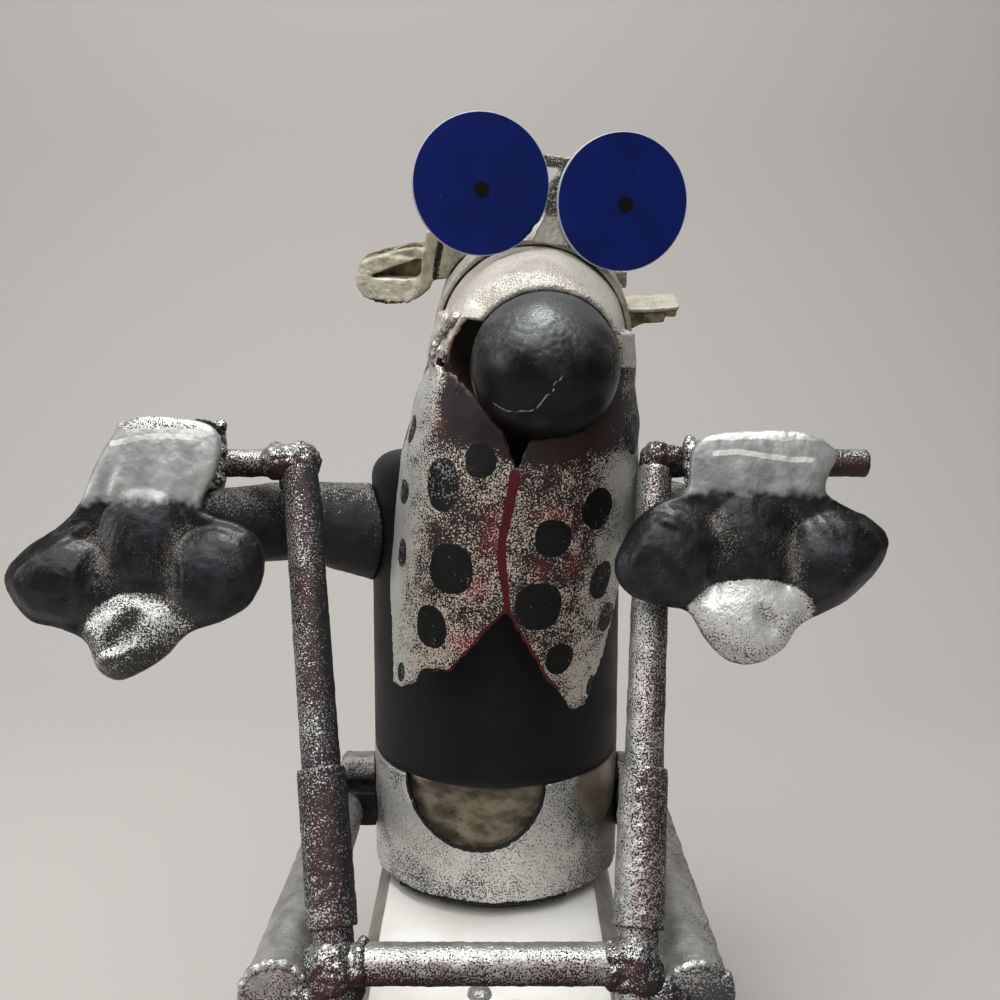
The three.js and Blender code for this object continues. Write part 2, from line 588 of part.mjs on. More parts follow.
// Eyes and their bracket
const eyeFrame = frame(point(EYE_X, EYE_Y, 0), 0, 0, EYE_YAW);
const eyes = group('eyes', eyeFrame);
for (const [name, out] of [['left', -1], ['right', 1]]) {
  const disc = new THREE.CylinderGeometry(EYE_RADIUS, EYE_RADIUS, EYE_THICK, ROUND + 8);
  const eye = piece(`eye_${name}`, disc, 'blue');
  eye.position.set(out * EYE_SPACING / 2, 0, EYE_HEIGHT);
  eyes.add(eye);
}
const BRACKET = [
  [-4.8, 46], [9.2, 46], [7, 51], [3.4, 55], [2.6, 63], [4.5, 69], [9, 73], [27, 73], [27, 77],
  [-16, 77], [-16, 73], [3, 73], [-0.6, 68], [-1.6, 61], [-1.2, 55], [-3.6, 50],
];
const bracketPlate = solid(plate(BRACKET, EYE_THICK / 2 + GAP, EYE_THICK / 2 + GAP + BRACKET_THICK));
const skullRoomForEyes = moved(skullRoomGeometry, eyeFrame.clone().invert().multiply(skullFrame));
eyes.add(piece('eye_bracket', shape(bracketPlate.subtract(solid(skullRoomForEyes))), 'silver'));
head.add(eyes);

// Ears, drawn looking along the skull
const ears = group('ears', skullFrame);
const earRoom = solid(skullRoomGeometry);
const EAR_LEAF = [
  [-71, 7], [-66, 3.2], [-59.3, 2.3], [-50.6, 3.6], [-44.9, 7.1], [-41, 13.6], [-33, 15.5], [-29, 25], [-31, 31],
  [-41, 32.7], [-45.4, 32.3], [-44.9, 25], [-61.5, 20.5], [-70, 16.5], [-72, 11],
];
const EAR_FOLD = [[-66, 11.4], [-46.8, 13], [-45.6, 20.8], [-57.3, 15.8]];
const leaf = solid(plate(EAR_LEAF, EAR_FRONT, EAR_FRONT + EAR_DEPTH, [EAR_FOLD]));
ears.add(piece('ear_left', shape(leaf.subtract(earRoom)), 'bone'));

const earRoot = SKULL_RADIUS / 2;
const earLevel = EAR_UNDER + SHEET;
const earBack = EAR_FRONT + EAR_DEPTH;
const earRise = (EAR_TIP - earRoot) * EAR_SLOPE;
const earTop = solid(plate([
  [earRoot, EAR_UNDER], [EAR_TIP, EAR_UNDER + earRise], [EAR_TIP, earLevel + earRise], [earRoot, earLevel],
], EAR_FRONT, earBack));
const earFlange = solid(plate([
  [earRoot, -3], [38, 1], [44.7, 5], [EAR_BEND, 6.3], [EAR_BEND, EAR_UNDER + earRise], [earRoot, EAR_UNDER + 1],
], EAR_FRONT + 2, EAR_FRONT + 2 + SHEET));
const earEnd = solid(plate([
  [EAR_BEND, 7.9], [EAR_TIP, 8.4], [EAR_TIP, EAR_UNDER + earRise + 1], [EAR_BEND, EAR_UNDER + earRise],
], EAR_FRONT + 4, earBack));
const angle = earTop.add(earFlange).add(earEnd);
ears.add(piece('ear_right', shape(angle.subtract(earRoom)), 'bone'));
head.add(ears);
dog.add(head);

export default dog;
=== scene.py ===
# %% [markdown]
# # A dog welded from scrap
#
# The sculpture sits on a white seat and holds tall handlebars. Its body is a length of four-inch
# pipe, its skull a short three-inch pipe, its nose a steel ball, and its muzzle and jowls are one
# bent and torn sheet. Silver paint was sprayed over dark red-brown and black, mostly from above.
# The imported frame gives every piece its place; this script gives each one its real surface.
# %% Load the frame
import math
import random

import bmesh
import bpy
from mathutils import Matrix, Vector, noise


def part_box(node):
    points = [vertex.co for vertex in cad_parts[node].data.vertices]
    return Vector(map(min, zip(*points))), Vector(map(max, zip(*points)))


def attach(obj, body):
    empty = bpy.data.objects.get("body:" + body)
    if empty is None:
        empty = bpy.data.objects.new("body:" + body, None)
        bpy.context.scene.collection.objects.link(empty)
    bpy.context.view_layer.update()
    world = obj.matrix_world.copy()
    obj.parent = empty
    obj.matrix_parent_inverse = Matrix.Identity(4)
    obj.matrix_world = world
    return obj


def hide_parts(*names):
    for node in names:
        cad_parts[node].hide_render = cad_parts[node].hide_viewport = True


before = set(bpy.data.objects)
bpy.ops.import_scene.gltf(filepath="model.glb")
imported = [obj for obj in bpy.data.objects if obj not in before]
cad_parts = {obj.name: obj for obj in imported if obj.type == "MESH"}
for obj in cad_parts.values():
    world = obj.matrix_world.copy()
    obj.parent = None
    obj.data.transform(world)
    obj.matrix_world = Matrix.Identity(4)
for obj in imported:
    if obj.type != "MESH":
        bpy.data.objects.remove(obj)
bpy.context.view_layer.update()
MM = 0.001

# %% [markdown]
# ## The camera
#
# The picture was taken from just in front of the head, looking a little down. A focal length of
# 1050 pixels on a picture 1000 pixels wide is a moderately wide lens, so near things look large.
# %% Camera
CAMERA_PLACE = Vector((1.7, -330, 335)) * MM
CAMERA_PITCH = 12
FOCAL_PIXELS = 1050
IMAGE_PIXELS = 1000

camera_data = bpy.data.cameras.new("camera")
camera_data.lens = camera_data.sensor_width * FOCAL_PIXELS / IMAGE_PIXELS
camera = bpy.data.objects.new("camera", camera_data)
camera.location = CAMERA_PLACE
camera.rotation_euler = (math.radians(90 - CAMERA_PITCH), 0, 0)
bpy.context.scene.collection.objects.link(camera)
bpy.context.scene.camera = camera
print(f"camera lens {camera_data.lens:.1f} mm")

# %% [markdown]
# ## Frames
#
# A welded figure is easiest to build in the frames of its own parts: the head is rolled to one side,
# the skull is tipped down at the front, the body leans back and the hands lean with their fingers
# forward. Each frame is a matrix, and a piece is made in its frame and then carried into place.
# %% Frames of the head, the body and the hands
HEAD_ROLL = 6
NOSE_IN_HEAD = Vector((3.5, -31.3, 4.3)) * MM
SKULL_RISE = 5.7
SKULL_PITCH = 14
EYES_IN_HEAD = Vector((1, 6, 0)) * MM
EYE_YAW = 11.7
BODY_Y = 80
BODY_LEAN = 5.5
HAND_LEAN = 12
HAND_PLACES = {"left": (-119.3, 9, 247.5), "right": (85, 9, 247.5)}


def at(x, y, z):
    """A move by millimetres."""
    return Matrix.Translation(Vector((x, y, z)) * MM)


def turn(degrees, axis):
    return Matrix.Rotation(math.radians(degrees), 4, axis)


def middle(node):
    low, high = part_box(node)
    return (low + high) / 2


HEAD = Matrix.Translation(middle("nose_ball") - turn(HEAD_ROLL, "Y") @ NOSE_IN_HEAD) @ turn(HEAD_ROLL, "Y")
SKULL = HEAD @ at(0, 0, SKULL_RISE) @ turn(SKULL_PITCH, "X")
EYES = HEAD @ Matrix.Translation(EYES_IN_HEAD) @ turn(EYE_YAW, "Z")
seat_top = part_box("seat")[1].z / MM
BODY = at(0, BODY_Y, seat_top) @ turn(-BODY_LEAN, "X")
HANDS = {side: at(*place) @ turn(-HAND_LEAN, "X") for side, place in HAND_PLACES.items()}
print("head at", [round(value / MM, 1) for value in HEAD.translation], "seat top", round(seat_top, 1))

# %% [markdown]
# ## Shader sums
#
# Material nodes are easier to read as sums. `Value` wraps one output socket and overloads the
# operators, and `Finish` is one material with a method that adds any node. Sizes are given in
# millimetres, so a grain of 1.2 is 1.2 mm on the metal.
# %% Shader helpers
class Value:
    """One output socket, so that sums on it read as sums."""

    def __init__(self, finish, socket):
        self.finish = finish
        self.socket = socket

    def math(self, operation, first, second=0.0):
        return self.finish.node("ShaderNodeMath", {"operation": operation}, {0: first, 1: second})

    def __add__(self, other):
        return self.math("ADD", self, other)

    def __radd__(self, other):
        return self.math("ADD", other, self)

    def __sub__(self, other):
        return self.math("SUBTRACT", self, other)

    def __rsub__(self, other):
        return self.math("SUBTRACT", other, self)

    def __mul__(self, other):
        return self.math("MULTIPLY", self, other)

    def __rmul__(self, other):
        return self.math("MULTIPLY", other, self)

    def step(self, low, high):
        """0 below low, 1 above high, and smooth between them; low may be the larger."""
        return self.finish.node(
            "ShaderNodeMapRange", {"interpolation_type": "SMOOTHSTEP"},
            {"Value": self, "From Min": low, "From Max": high},
        )


class Finish:
    """A material whose nodes are written as Python expressions."""

    def __init__(self, name):
        self.material = bpy.data.materials.new(name)
        self.material.use_nodes = True
        self.tree = self.material.node_tree
        self.shader = self.tree.nodes["Principled BSDF"]
        self.place = self.node("ShaderNodeTexCoord", output="Object")
        facing = self.node("ShaderNodeNewGeometry", output="Normal")
        parts = [self.node("ShaderNodeSeparateXYZ", inputs={"Vector": facing}, output=axis) for axis in "XYZ"]
        self.right, self.back, self.up = parts

    def node(self, kind, settings=None, inputs=None, output=0):
        made = self.tree.nodes.new(kind)
        for key, value in (settings or {}).items():
            setattr(made, key, value)
        for key, value in (inputs or {}).items():
            if isinstance(value, Value):
                self.tree.links.new(value.socket, made.inputs[key])
            else:
                made.inputs[key].default_value = value
        return Value(self, made.outputs[output])

    def noise(self, size, detail=2.0, stretch=None, seed=0.0, roughness=0.5):
        """Cloudy noise from 0 to 1 with features of that many millimetres."""
        where = self.node("ShaderNodeMapping", inputs={
            "Vector": self.place, "Location": (seed, seed, seed), "Scale": stretch or (1, 1, 1),
        })
        inputs = {"Vector": where, "Scale": 1 / (size * MM), "Detail": detail, "Roughness": roughness}
        return self.node("ShaderNodeTexNoise", inputs=inputs, output="Fac")

    def attribute(self, name):
        return self.node("ShaderNodeAttribute", {"attribute_name": name}, output="Fac")

    def blend(self, factor, first, second):
        """The first colour where the factor is 0 and the second where it is 1."""
        return self.node("ShaderNodeMix", {"data_type": "RGBA"}, {0: factor, 6: first, 7: second}, output=2)

    def speckle(self, cover, size, soft=0.05, seed=0.0):
        """Grains of that many millimetres that hide a share of the surface given by cover."""
        grain = self.noise(size, detail=0.7, seed=seed, roughness=0.4)
        return (grain + cover * 0.62).step(0.81 - soft, 0.81 + soft)

    def set(self, socket, value):
        if isinstance(value, Value):
            self.tree.links.new(value.socket, self.shader.inputs[socket])
        else:
            self.shader.inputs[socket].default_value = value

    def dress(self, colour, roughness, metallic, relief=None, depth=0.3, shine=0.35):
        """Feeds the shader; relief is a height of 0 to 1 that stands for depth in millimetres."""
        self.set("Base Color", colour)
        self.set("Roughness", roughness)
        self.set("Metallic", metallic)
        if relief is not None:
            self.set("Normal", self.node(
                "ShaderNodeBump", inputs={"Strength": 1.0, "Distance": depth * MM, "Height": relief},
                output="Normal",
            ))
        self.set("Specular IOR Level", shine)
        return self


def colour(red, green, blue):
    """A colour of the picture, 0 to 255, as the linear one that a shader takes."""
    def linear(value):
        share = value / 255
        return share / 12.92 if share <= 0.04045 else ((share + 0.055) / 1.055) ** 2.4
    return (linear(red), linear(green), linear(blue), 1.0)


SILVER = colour(188, 187, 182)
DULL_SILVER = colour(150, 150, 147)
SOOT = colour(27, 26, 28)
RED_BROWN = colour(64, 33, 34)
print("silver in linear light:", [round(value, 3) for value in SILVER[:3]])

# %% [markdown]
# ## Sprayed silver
#
# Most pieces carry the same paint: silver sprayed over a dark ground, dense on tops and left sides
# and open in front, where a red-brown undercoat glows through along the rods. One function makes
# it, with its cover, its ground colours and the size of its grains as arguments.
# %% Sprayed silver finish
MORE_ON_TOPS = 0.34
MORE_ON_LEFT = 0.16


def sprayed(name, cover, ground, blush, grain=0.6, shine=0.7):
    """Silver grains over a ground colour, with a second ground colour where it faces the front."""
    finish = Finish(name)
    clouds = finish.noise(18, detail=3)
    faced = (0 - finish.back).step(0.55, 0.95) * finish.noise(15, detail=2, seed=4.0).step(0.34, 0.55)
    share = (
        finish.up * MORE_ON_TOPS - finish.right * MORE_ON_LEFT + (clouds - 0.5) * 0.6 - faced * 0.1 + cover
    )
    grains = finish.speckle(share, grain)
    under = finish.blend(faced * 0.75, ground, blush)
    shade = finish.noise(6, detail=4, seed=9.0)
    over = finish.blend(shade.step(0.3, 0.7), SILVER, DULL_SILVER)
    over = finish.blend(faced * 0.25, over, colour(170, 128, 126))
    relief = grains * 0.5 + finish.noise(0.7, detail=3, seed=2.0)
    return finish.dress(
        finish.blend(grains, under, over), 0.6 - grains * 0.26, grains * shine, relief, 0.28,
    )


bar_paint = sprayed("bar_paint", 0.22, SOOT, RED_BROWN, grain=0.55)
bright_bar_paint = sprayed("bright_bar_paint", 0.38, SOOT, RED_BROWN, grain=0.55)
bar_paints = {"left": bar_paint, "right": bright_bar_paint}
top_paints = {"left": bright_bar_paint, "right": bar_paint}
leg_paints = {
    side: sprayed(f"leg_paint_{side}", cover, colour(62, 62, 66), colour(70, 70, 74), grain=0.7)
    for side, cover in (("left", 0.62), ("right", 0.48))
}
cross_paint = sprayed("cross_paint", 0.5, SOOT, RED_BROWN, grain=0.55)
arm_paint = sprayed("arm_paint", 0.16, colour(30, 31, 33), colour(38, 38, 39), grain=0.55, shine=0.8)
print("sprayed finishes:", [material.name for material in bpy.data.materials if "paint" in material.name])

# %% [markdown]
# ## Bone paint, brown belly, black drum, white seat
#
# The skull, the ears and the eyes' bracket are pale and worn. The belly shows bare brown metal with
# a soft shine and small pits. The drum is flat black with a few scratches, the seat satin white.
# %% Plain finishes
def worn_bone():
    finish = Finish("bone_paint")
    stain = finish.noise(7, detail=4, stretch=(1, 1, 0.35)).step(0.46, 0.7)
    pale = finish.blend(finish.noise(3, detail=2, seed=3.0), colour(186, 181, 168), colour(146, 142, 130))
    # The stains turn darker where the surface faces down: painted shade.
    dark = finish.blend(finish.up.step(0.3, -0.6), colour(120, 116, 104), colour(62, 58, 52))
    grains = finish.speckle(finish.up * 0.25 + 0.5, 0.6)
    base = finish.blend(stain * 0.75, pale, dark)
    base = finish.blend(grains * 0.55, base, colour(206, 203, 194))
    # Surfaces facing down are darkened further toward dark grey-brown: painted shade.
    base = finish.blend(finish.up.step(-0.1, -0.8) * 0.8, base, colour(52, 50, 46))
    relief = finish.noise(1.0, detail=4, seed=5.0) + finish.noise(5, detail=2)
    return finish.dress(base, 0.46, 0.4, relief, 0.4)


def bare_belly():
    finish = Finish("belly_metal")
    clouds = finish.noise(9, detail=4, stretch=(1, 1, 1.6))
    base = finish.blend(clouds.step(0.35, 0.68), colour(88, 78, 66), colour(150, 138, 119))
    pits = finish.noise(1.1, detail=2, seed=7.0).step(0.62, 0.7) * finish.noise(8, seed=1.0).step(0.5, 0.66)
    relief = finish.noise(2.5, detail=3) - pits
    return finish.dress(finish.blend(pits, base, colour(46, 38, 32)), 0.4 + pits * 0.3, 0.55, relief, 0.35)


def flat_black():
    finish = Finish("drum_black")
    dust = finish.noise(26, detail=5).step(0.45, 0.8)
    base = finish.blend(dust, colour(20, 20, 23), colour(34, 34, 37))
    streak = finish.noise(9, detail=1, stretch=(1, 1, 14), seed=3.0).step(0.79, 0.8)
    scratch = streak * finish.noise(20, seed=8.0).step(0.55, 0.62)
    relief = finish.noise(0.8, detail=3)
    painted = finish.blend(scratch, base, colour(110, 110, 110))
    return finish.dress(painted, 0.5 + dust * 0.16, 0.0, relief, 0.06, shine=0.2)


def seat_paint():
    finish = Finish("seat_paint")
    clouds = finish.noise(18, detail=4)
    top = finish.blend(clouds.step(0.35, 0.75), colour(251, 250, 243), colour(240, 237, 227))
    worn = finish.noise(12, detail=3).step(0.3, 0.7)
    flank = finish.blend(worn, colour(112, 107, 98), colour(150, 145, 134))
    smears = finish.noise(5, detail=3, stretch=(0.4, 1, 1), seed=2.0).step(0.66, 0.78) * 0.35
    # White where the surface faces nearly straight up, grey on the flanks that turn away from it.
    painted = finish.blend(finish.up.step(0.97, 0.9), top, flank)
    return finish.dress(finish.blend(smears, painted, colour(186, 180, 166)), 0.42, 0.0, clouds, 0.2)


def dark_steel():
    finish = Finish("base_steel")
    clouds = finish.noise(16, detail=5)
    scuffs = finish.noise(2.2, detail=3, stretch=(1, 0.25, 1)).step(0.62, 0.74) * 0.5
    base = finish.blend(clouds.step(0.35, 0.7), colour(58, 58, 61), colour(88, 87, 86))
    return finish.dress(finish.blend(scuffs, base, colour(140, 139, 136)), 0.46, 0.45, clouds, 0.3)


def soot_weld():
    """Dark burnt metal at the feet of the welds, with some silver on top."""
    finish = Finish("weld_metal")
    grains = finish.speckle(finish.up * 0.4 + 0.34 + (finish.noise(6) - 0.5), 0.6)
    base = finish.blend(grains, colour(34, 31, 31), SILVER)
    return finish.dress(base, 0.58 - grains * 0.24, 0.3 + grains * 0.5, finish.noise(0.9, detail=4), 0.35)


bone_paint = worn_bone()
belly_metal = bare_belly()
drum_black = flat_black()
seat_white = seat_paint()
base_steel = dark_steel()
weld_metal = soot_weld()
print(len(bpy.data.materials), "materials so far")

# %% [markdown]
# ## Shaping helpers
#
# Pipes and rods are a profile spun round an axis. Sheet shapes are an outline pushed to a thickness.
# Where forms are cut or grow into each other, a boolean cuts them and a voxel remesh gives one even
# skin of small faces, which can then be hammered, dented and torn like the real sheet.
# %% Scratch meshes, cuts and skins
def scratch_object(bm):
    """A short-lived object of the mesh, for modifiers to work on."""
    mesh = bpy.data.meshes.new("scratch")
    bm.to_mesh(mesh)
    bm.free()
    made = bpy.data.objects.new("scratch", mesh)
    bpy.context.scene.collection.objects.link(made)
    return made


def result(made, *spent):
    """The mesh with its modifiers applied, as a bmesh; the scratch objects go."""
    shaped = made.evaluated_get(bpy.context.evaluated_depsgraph_get())
    bm = bmesh.new()
    bm.from_mesh(shaped.to_mesh())
    shaped.to_mesh_clear()
    for one in (made, *spent):
        mesh = one.data
        bpy.data.objects.remove(one)
        bpy.data.meshes.remove(mesh)
    return bm


def fine(bm, voxel):
    """One even skin round everything in the mesh, with faces of that many millimetres."""
    made = scratch_object(bm)
    even = made.modifiers.new("even", "REMESH")
    even.mode = "VOXEL"
    even.voxel_size = voxel * MM
    return result(made)


def cut(bm, *cutters):
    """The mesh with every cutter taken away from it."""
    made = scratch_object(bm)
    others = [scratch_object(cutter) for cutter in cutters]
    for other in others:
        knife = made.modifiers.new("knife", "BOOLEAN")
        knife.solver = "MANIFOLD"
        knife.operation = "DIFFERENCE"
        knife.object = other
    return result(made, *others)


def joined(*parts):
    """Several meshes in one, still separate shells."""
    bm = bmesh.new()
    for part in parts:
        mesh = bpy.data.meshes.new("scratch")
        part.to_mesh(mesh)
        part.free()
        bm.from_mesh(mesh)
        bpy.data.meshes.remove(mesh)
    return bm


# %% [markdown]
# ## Dents, fields and finished pieces
#
# A dent is a move of each corner along its normal by a noise that is worked out from its place, so
# it is the same on every run. A field is one number kept on each corner, such as how near a place
# is to a torn edge; a finish reads it by name. Fields were chosen over painted pictures because they
# stay sharp at any distance and need no unwrapping.
# %% Moves, dents and fields
def moved(bm, matrix):
    bmesh.ops.transform(bm, matrix=matrix, verts=bm.verts)
    return bm


def softened(bm, times=1):
    """Draws every corner halfway to its neighbours, so that edges grow round."""
    for _ in range(times):
        bmesh.ops.smooth_vert(
            bm, verts=bm.verts, factor=0.5, use_axis_x=True, use_axis_y=True, use_axis_z=True,
        )
    return bm


def bevelled(bm, edges, offset, segments):
    """Rounds those edges by that many millimetres."""
    bmesh.ops.bevel(
        bm, geom=edges, offset=offset * MM, offset_type="OFFSET", segments=segments, profile=0.5,
        affect="EDGES", material=-1,
    )
    return bm


def pushed(bm, distance):
    """Moves every corner along its normal by distance(place, normal) millimetres."""
    bm.normal_update()
    steps = [corner.normal * (distance(corner.co, corner.normal) * MM) for corner in bm.verts]
    for corner, step in zip(bm.verts, steps):
        corner.co += step
    return bm


def cloud(place, size, seed=0.0, octaves=3):
    """Fractal noise of about -1 to 1 at a place, with features of that many millimetres."""
    return noise.fractal(place / (size * MM) + Vector((seed, -seed, seed / 2)), 1.0, 2.0, octaves)


def roughened(bm, depth, size, seed=0.0):
    return pushed(bm, lambda place, normal: depth * cloud(place, size, seed))


def painted(bm, name, amount):
    """Stores amount(place) on every corner, for a finish to read by that name."""
    layer = bm.verts.layers.float.new(name)
    for corner in bm.verts:
        corner[layer] = amount(corner.co)
    return bm


def keep(name, bm, finish, slot, *stands_for, crease=None):
    """Makes a finished piece of the mesh, in place of CAD nodes."""
    mesh = bpy.data.meshes.new(name)
    bm.to_mesh(mesh)
    bm.free()
    mesh.shade_smooth()
    if crease:
        mesh.set_sharp_from_angle(angle=math.radians(crease))
    mesh.materials.append(finish.material)
    made = bpy.data.objects.new(name, mesh)
    bpy.context.scene.collection.objects.link(made)
    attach(made, "root")
    if stands_for:
        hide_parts(*stands_for)
    print(f"{name}: {len(mesh.polygons)} faces")


# %% [markdown]
# ## Turned forms, rods and plates
#
# Most of the scrap is round bar and pipe, which one spun profile makes with a closed skin. A rod is
# that form laid between two places, with rings close enough to be dented. Flat scrap is an outline
# extruded to its thickness. A weld is a row of overlapping drops that are fused by a remesh.
# %% Turned forms and rods
def turned(profile, sides=96):
    """A closed form turned round +Z from (radius, height) corners; sides on the axis are left out."""
    bm = bmesh.new()
    corners = [bm.verts.new((radius * MM, 0, height * MM)) for radius, height in profile]
    pairs = [pair for pair in zip(corners, corners[1:] + corners[:1]) if pair[0].co.x + pair[1].co.x > 0]
    edges = [bm.edges.new(pair) for pair in pairs]
    bmesh.ops.spin(
        bm, geom=corners + edges, cent=(0, 0, 0), axis=(0, 0, 1), dvec=(0, 0, 0),
        angle=math.tau, steps=sides, use_merge=True,
    )
    bmesh.ops.remove_doubles(bm, verts=bm.verts, dist=0.001 * MM)
    bmesh.ops.recalc_face_normals(bm, faces=bm.faces)
    return bm


def lengths(start, end, step):
    """Even heights from start to end, about a step apart."""
    count = max(1, round(abs(end - start) / step))
    return [start + (end - start) * index / count for index in range(count + 1)]


def onto(start, end):
    """The matrix that carries +Z from the origin onto the line from start to end, in metres."""
    lean = Vector((0, 0, 1)).rotation_difference((end - start).normalized())
    return Matrix.Translation(start) @ lean.to_matrix().to_4x4()


def rod(start, end, radius, end_radius=None, step=1.6, sides=40, edge=0.7):
    """A round bar between two places in millimetres, with rings close enough to be dented."""
    start, end = Vector(start) * MM, Vector(end) * MM
    length = (end - start).length / MM
    last = radius if end_radius is None else end_radius
    profile = [(0, 0), (radius - edge, 0)]
    for height in lengths(edge, length - edge, step):
        profile.append((radius + (last - radius) * height / length, height))
    profile += [(last - edge, length), (0, length)]
    return moved(turned(profile, sides), onto(start, end))


# %% Outlines and plates
def curve_through(points, pieces, closed=True):
    """A smooth line through points, with that many pieces between each two."""
    count = len(points)
    vectors = [Vector(point) for point in points]
    line = []
    for index in range(count if closed else count - 1):
        if closed:
            before, here, there, after = (vectors[(index + shift) % count] for shift in (-1, 0, 1, 2))
        else:
            near = [min(max(index + shift, 0), count - 1) for shift in (-1, 0, 1, 2)]
            before, here, there, after = (vectors[place] for place in near)
        for piece in range(pieces):
            t = piece / pieces
            line.append(0.5 * (
                2 * here + (there - before) * t + (2 * before - 5 * here + 4 * there - after) * t ** 2
                + (3 * here - before - 3 * there + after) * t ** 3
            ))
    return line if closed else line + [vectors[-1]]


def plate(outline, front, back):
    """An outline of (x, z) corners in millimetres, made a plate from y = front to y = back."""
    bm = bmesh.new()
    face = bm.faces.new([bm.verts.new((point[0] * MM, front * MM, point[1] * MM)) for point in outline])
    grown = bmesh.ops.extrude_face_region(bm, geom=[face])["geom"]
    corners = [item for item in grown if isinstance(item, bmesh.types.BMVert)]
    bmesh.ops.translate(bm, verts=corners, vec=(0, (back - front) * MM, 0))
    bmesh.ops.recalc_face_normals(bm, faces=bm.faces)
    return bm


def block(low, high):
    """A box between two opposite corners in millimetres."""
    low, high = Vector(low) * MM, Vector(high) * MM
    bm = bmesh.new()
    place = Matrix.Translation((low + high) / 2) @ Matrix.Diagonal((*(high - low), 1))
    bmesh.ops.create_cube(bm, size=1, matrix=place)
    return bm


# %% Weld beads
def drops(path, radius, seed, gap=0.62):
    """A weld bead before it is fused: overlapping drops along a path in metres."""
    dice = random.Random(seed)
    bm = bmesh.new()
    left_over = 0.0
    for start, end in zip(path, path[1:]):
        length = (end - start).length
        while left_over < length:
            size = radius * MM * dice.uniform(0.8, 1.2)
            stray = Vector([dice.uniform(-0.2, 0.2) * size for _ in range(3)])
            place = Matrix.Translation(start.lerp(end, left_over / length) + stray)
            bmesh.ops.create_icosphere(bm, subdivisions=2, radius=size, matrix=place)
            left_over += radius * gap * MM
        left_over -= length
    return bm


def ring(centre, axis, radius, count=24):
    """Places in metres on a circle of that many millimetres round an axis."""
    lean = Vector((0, 0, 1)).rotation_difference(Vector(axis).normalized()).to_matrix()
    angles = [math.radians(360 * index / count) for index in range(count + 1)]
    return [centre + lean @ Vector((math.cos(a), math.sin(a), 0)) * radius * MM for a in angles]


def weld(name, path, radius, slot, seed, finish, voxel):
    """A finished bead of weld along a path."""
    bead = roughened(fine(drops(path, radius, seed), voxel), radius * 0.16, radius * 0.9, seed)
    keep(name, bead, finish, slot)


trial = fine(drops([Vector(), Vector((0, 0, 5 * MM))], 1, 0), 0.5)
print("a trial bead of 5 mm has", len(trial.verts), "corners")
trial.free()

# %% [markdown]
# ## Base, posts and seat
#
# The lower part is out of the picture, so it is finished plainly: a plate with a small rounded edge,
# two stub pipes, and the seat, whose white top swells into grey flanks of uneven tone.
# %% Base plate and posts
BASE_EDGE = 1.2
base_low, base_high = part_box("base_plate")
BASE_CORNER = 14


def rounded_block(low, high, corner, edge):
    """A block in metres with round upright corners and a small round on its other edges."""
    bm = block(low / MM, high / MM)
    bevelled(bm, [e for e in bm.edges if abs(e.verts[0].co.z - e.verts[1].co.z) > MM], corner, 10)
    bm.normal_update()
    return bevelled(bm, [e for e in bm.edges if e.calc_face_angle(0) > 1], edge, 3)


base = rounded_block(base_low, base_high, BASE_CORNER, BASE_EDGE)
keep("ground_plate", base, base_steel, "base_steel", "base_plate", crease=35)

for side in ("front", "rear"):
    low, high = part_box(f"seat_post_{side}")
    centre = (low + high) / 2 / MM
    radius = (high.x - low.x) / 2 / MM
    pipe = rod((centre.x, centre.y, low.z / MM), (centre.x, centre.y, high.z / MM), radius, step=4, sides=64)
    keep(f"stub_pipe_{side}", pipe, base_steel, "base_steel", f"seat_post_{side}", crease=35)
    foot = Vector((centre.x * MM, centre.y * MM, low.z))
    weld(f"stub_weld_{side}", ring(foot, (0, 0, 1), radius, count=40), 2.2, "base_steel", 11, base_steel, 0.8)

# %% [markdown]
# ## Seat
#
# The seat's flat top is bounded by two straight edges and its flanks swell out and turn under. Its
# section is a curve through a few points, extruded from front to back, with its end edges rounded.
# A remesh then gives it even faces, so that it can sag and bulge a little like worn sheet.
# %% Seat and bolt
SEAT_FLARE = 8.5
SEAT_DEEP = 34
SEAT_ROUND = 2
SEAT_WIDER_LEFT = 3.5
seat_low, seat_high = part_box("seat")
seat_half = (seat_high.x - seat_low.x) / 2 / MM - SEAT_FLARE


def seat_outline(flat):
    """One half of the seat's section as (x, z), from the edge of the flat top to the underside."""
    wide = seat_half + SEAT_FLARE
    top = seat_top
    swell = curve_through([
        (flat - SEAT_ROUND, top), (flat, top - SEAT_ROUND), ((flat + wide) / 2 + 1.4, top - 8),
        (wide, top - 0.6 * SEAT_DEEP), (wide - SEAT_ROUND, top - 0.86 * SEAT_DEEP),
        (wide - 7, top - SEAT_DEEP),
    ], 6, closed=False)
    return [(point[0], point[1]) for point in swell]


section = seat_outline(seat_half) + [(-x, z) for x, z in reversed(seat_outline(seat_half + SEAT_WIDER_LEFT))]
pad = plate(section, seat_low.y / MM, seat_high.y / MM)
ends = [e for e in pad.edges if abs(e.verts[0].co.y - e.verts[1].co.y) < 0.1 * MM]
pad = roughened(fine(bevelled(pad, ends, SEAT_ROUND * 0.9, 4), 1.6), 0.25, 14, 3)
keep("saddle", pad, seat_white, "seat_white", "seat")

bolt_low, bolt_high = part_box("seat_bolt")
bolt_radius = (bolt_high.x - bolt_low.x) / 2 / MM
bolt_rise = (bolt_high.z - bolt_low.z) / MM
dome = [(0, -0.6), (bolt_radius, -0.6)]
dome += [
    (bolt_radius * math.cos(angle), bolt_rise * math.sin(angle))
    for angle in (math.radians(degrees) for degrees in range(0, 90, 10))
] + [(0, bolt_rise)]
bolt_foot = Vector(((bolt_low.x + bolt_high.x) / 2, (bolt_low.y + bolt_high.y) / 2, bolt_low.z))
bolt = roughened(moved(turned(dome, 40), Matrix.Translation(bolt_foot)), 0.18, 2, 5)
bolt_paint = sprayed("bolt_paint", 0.5, colour(112, 106, 84), SOOT, grain=0.7)
keep("bolt_head", bolt, bolt_paint, "handlebar_silver", "seat_bolt")

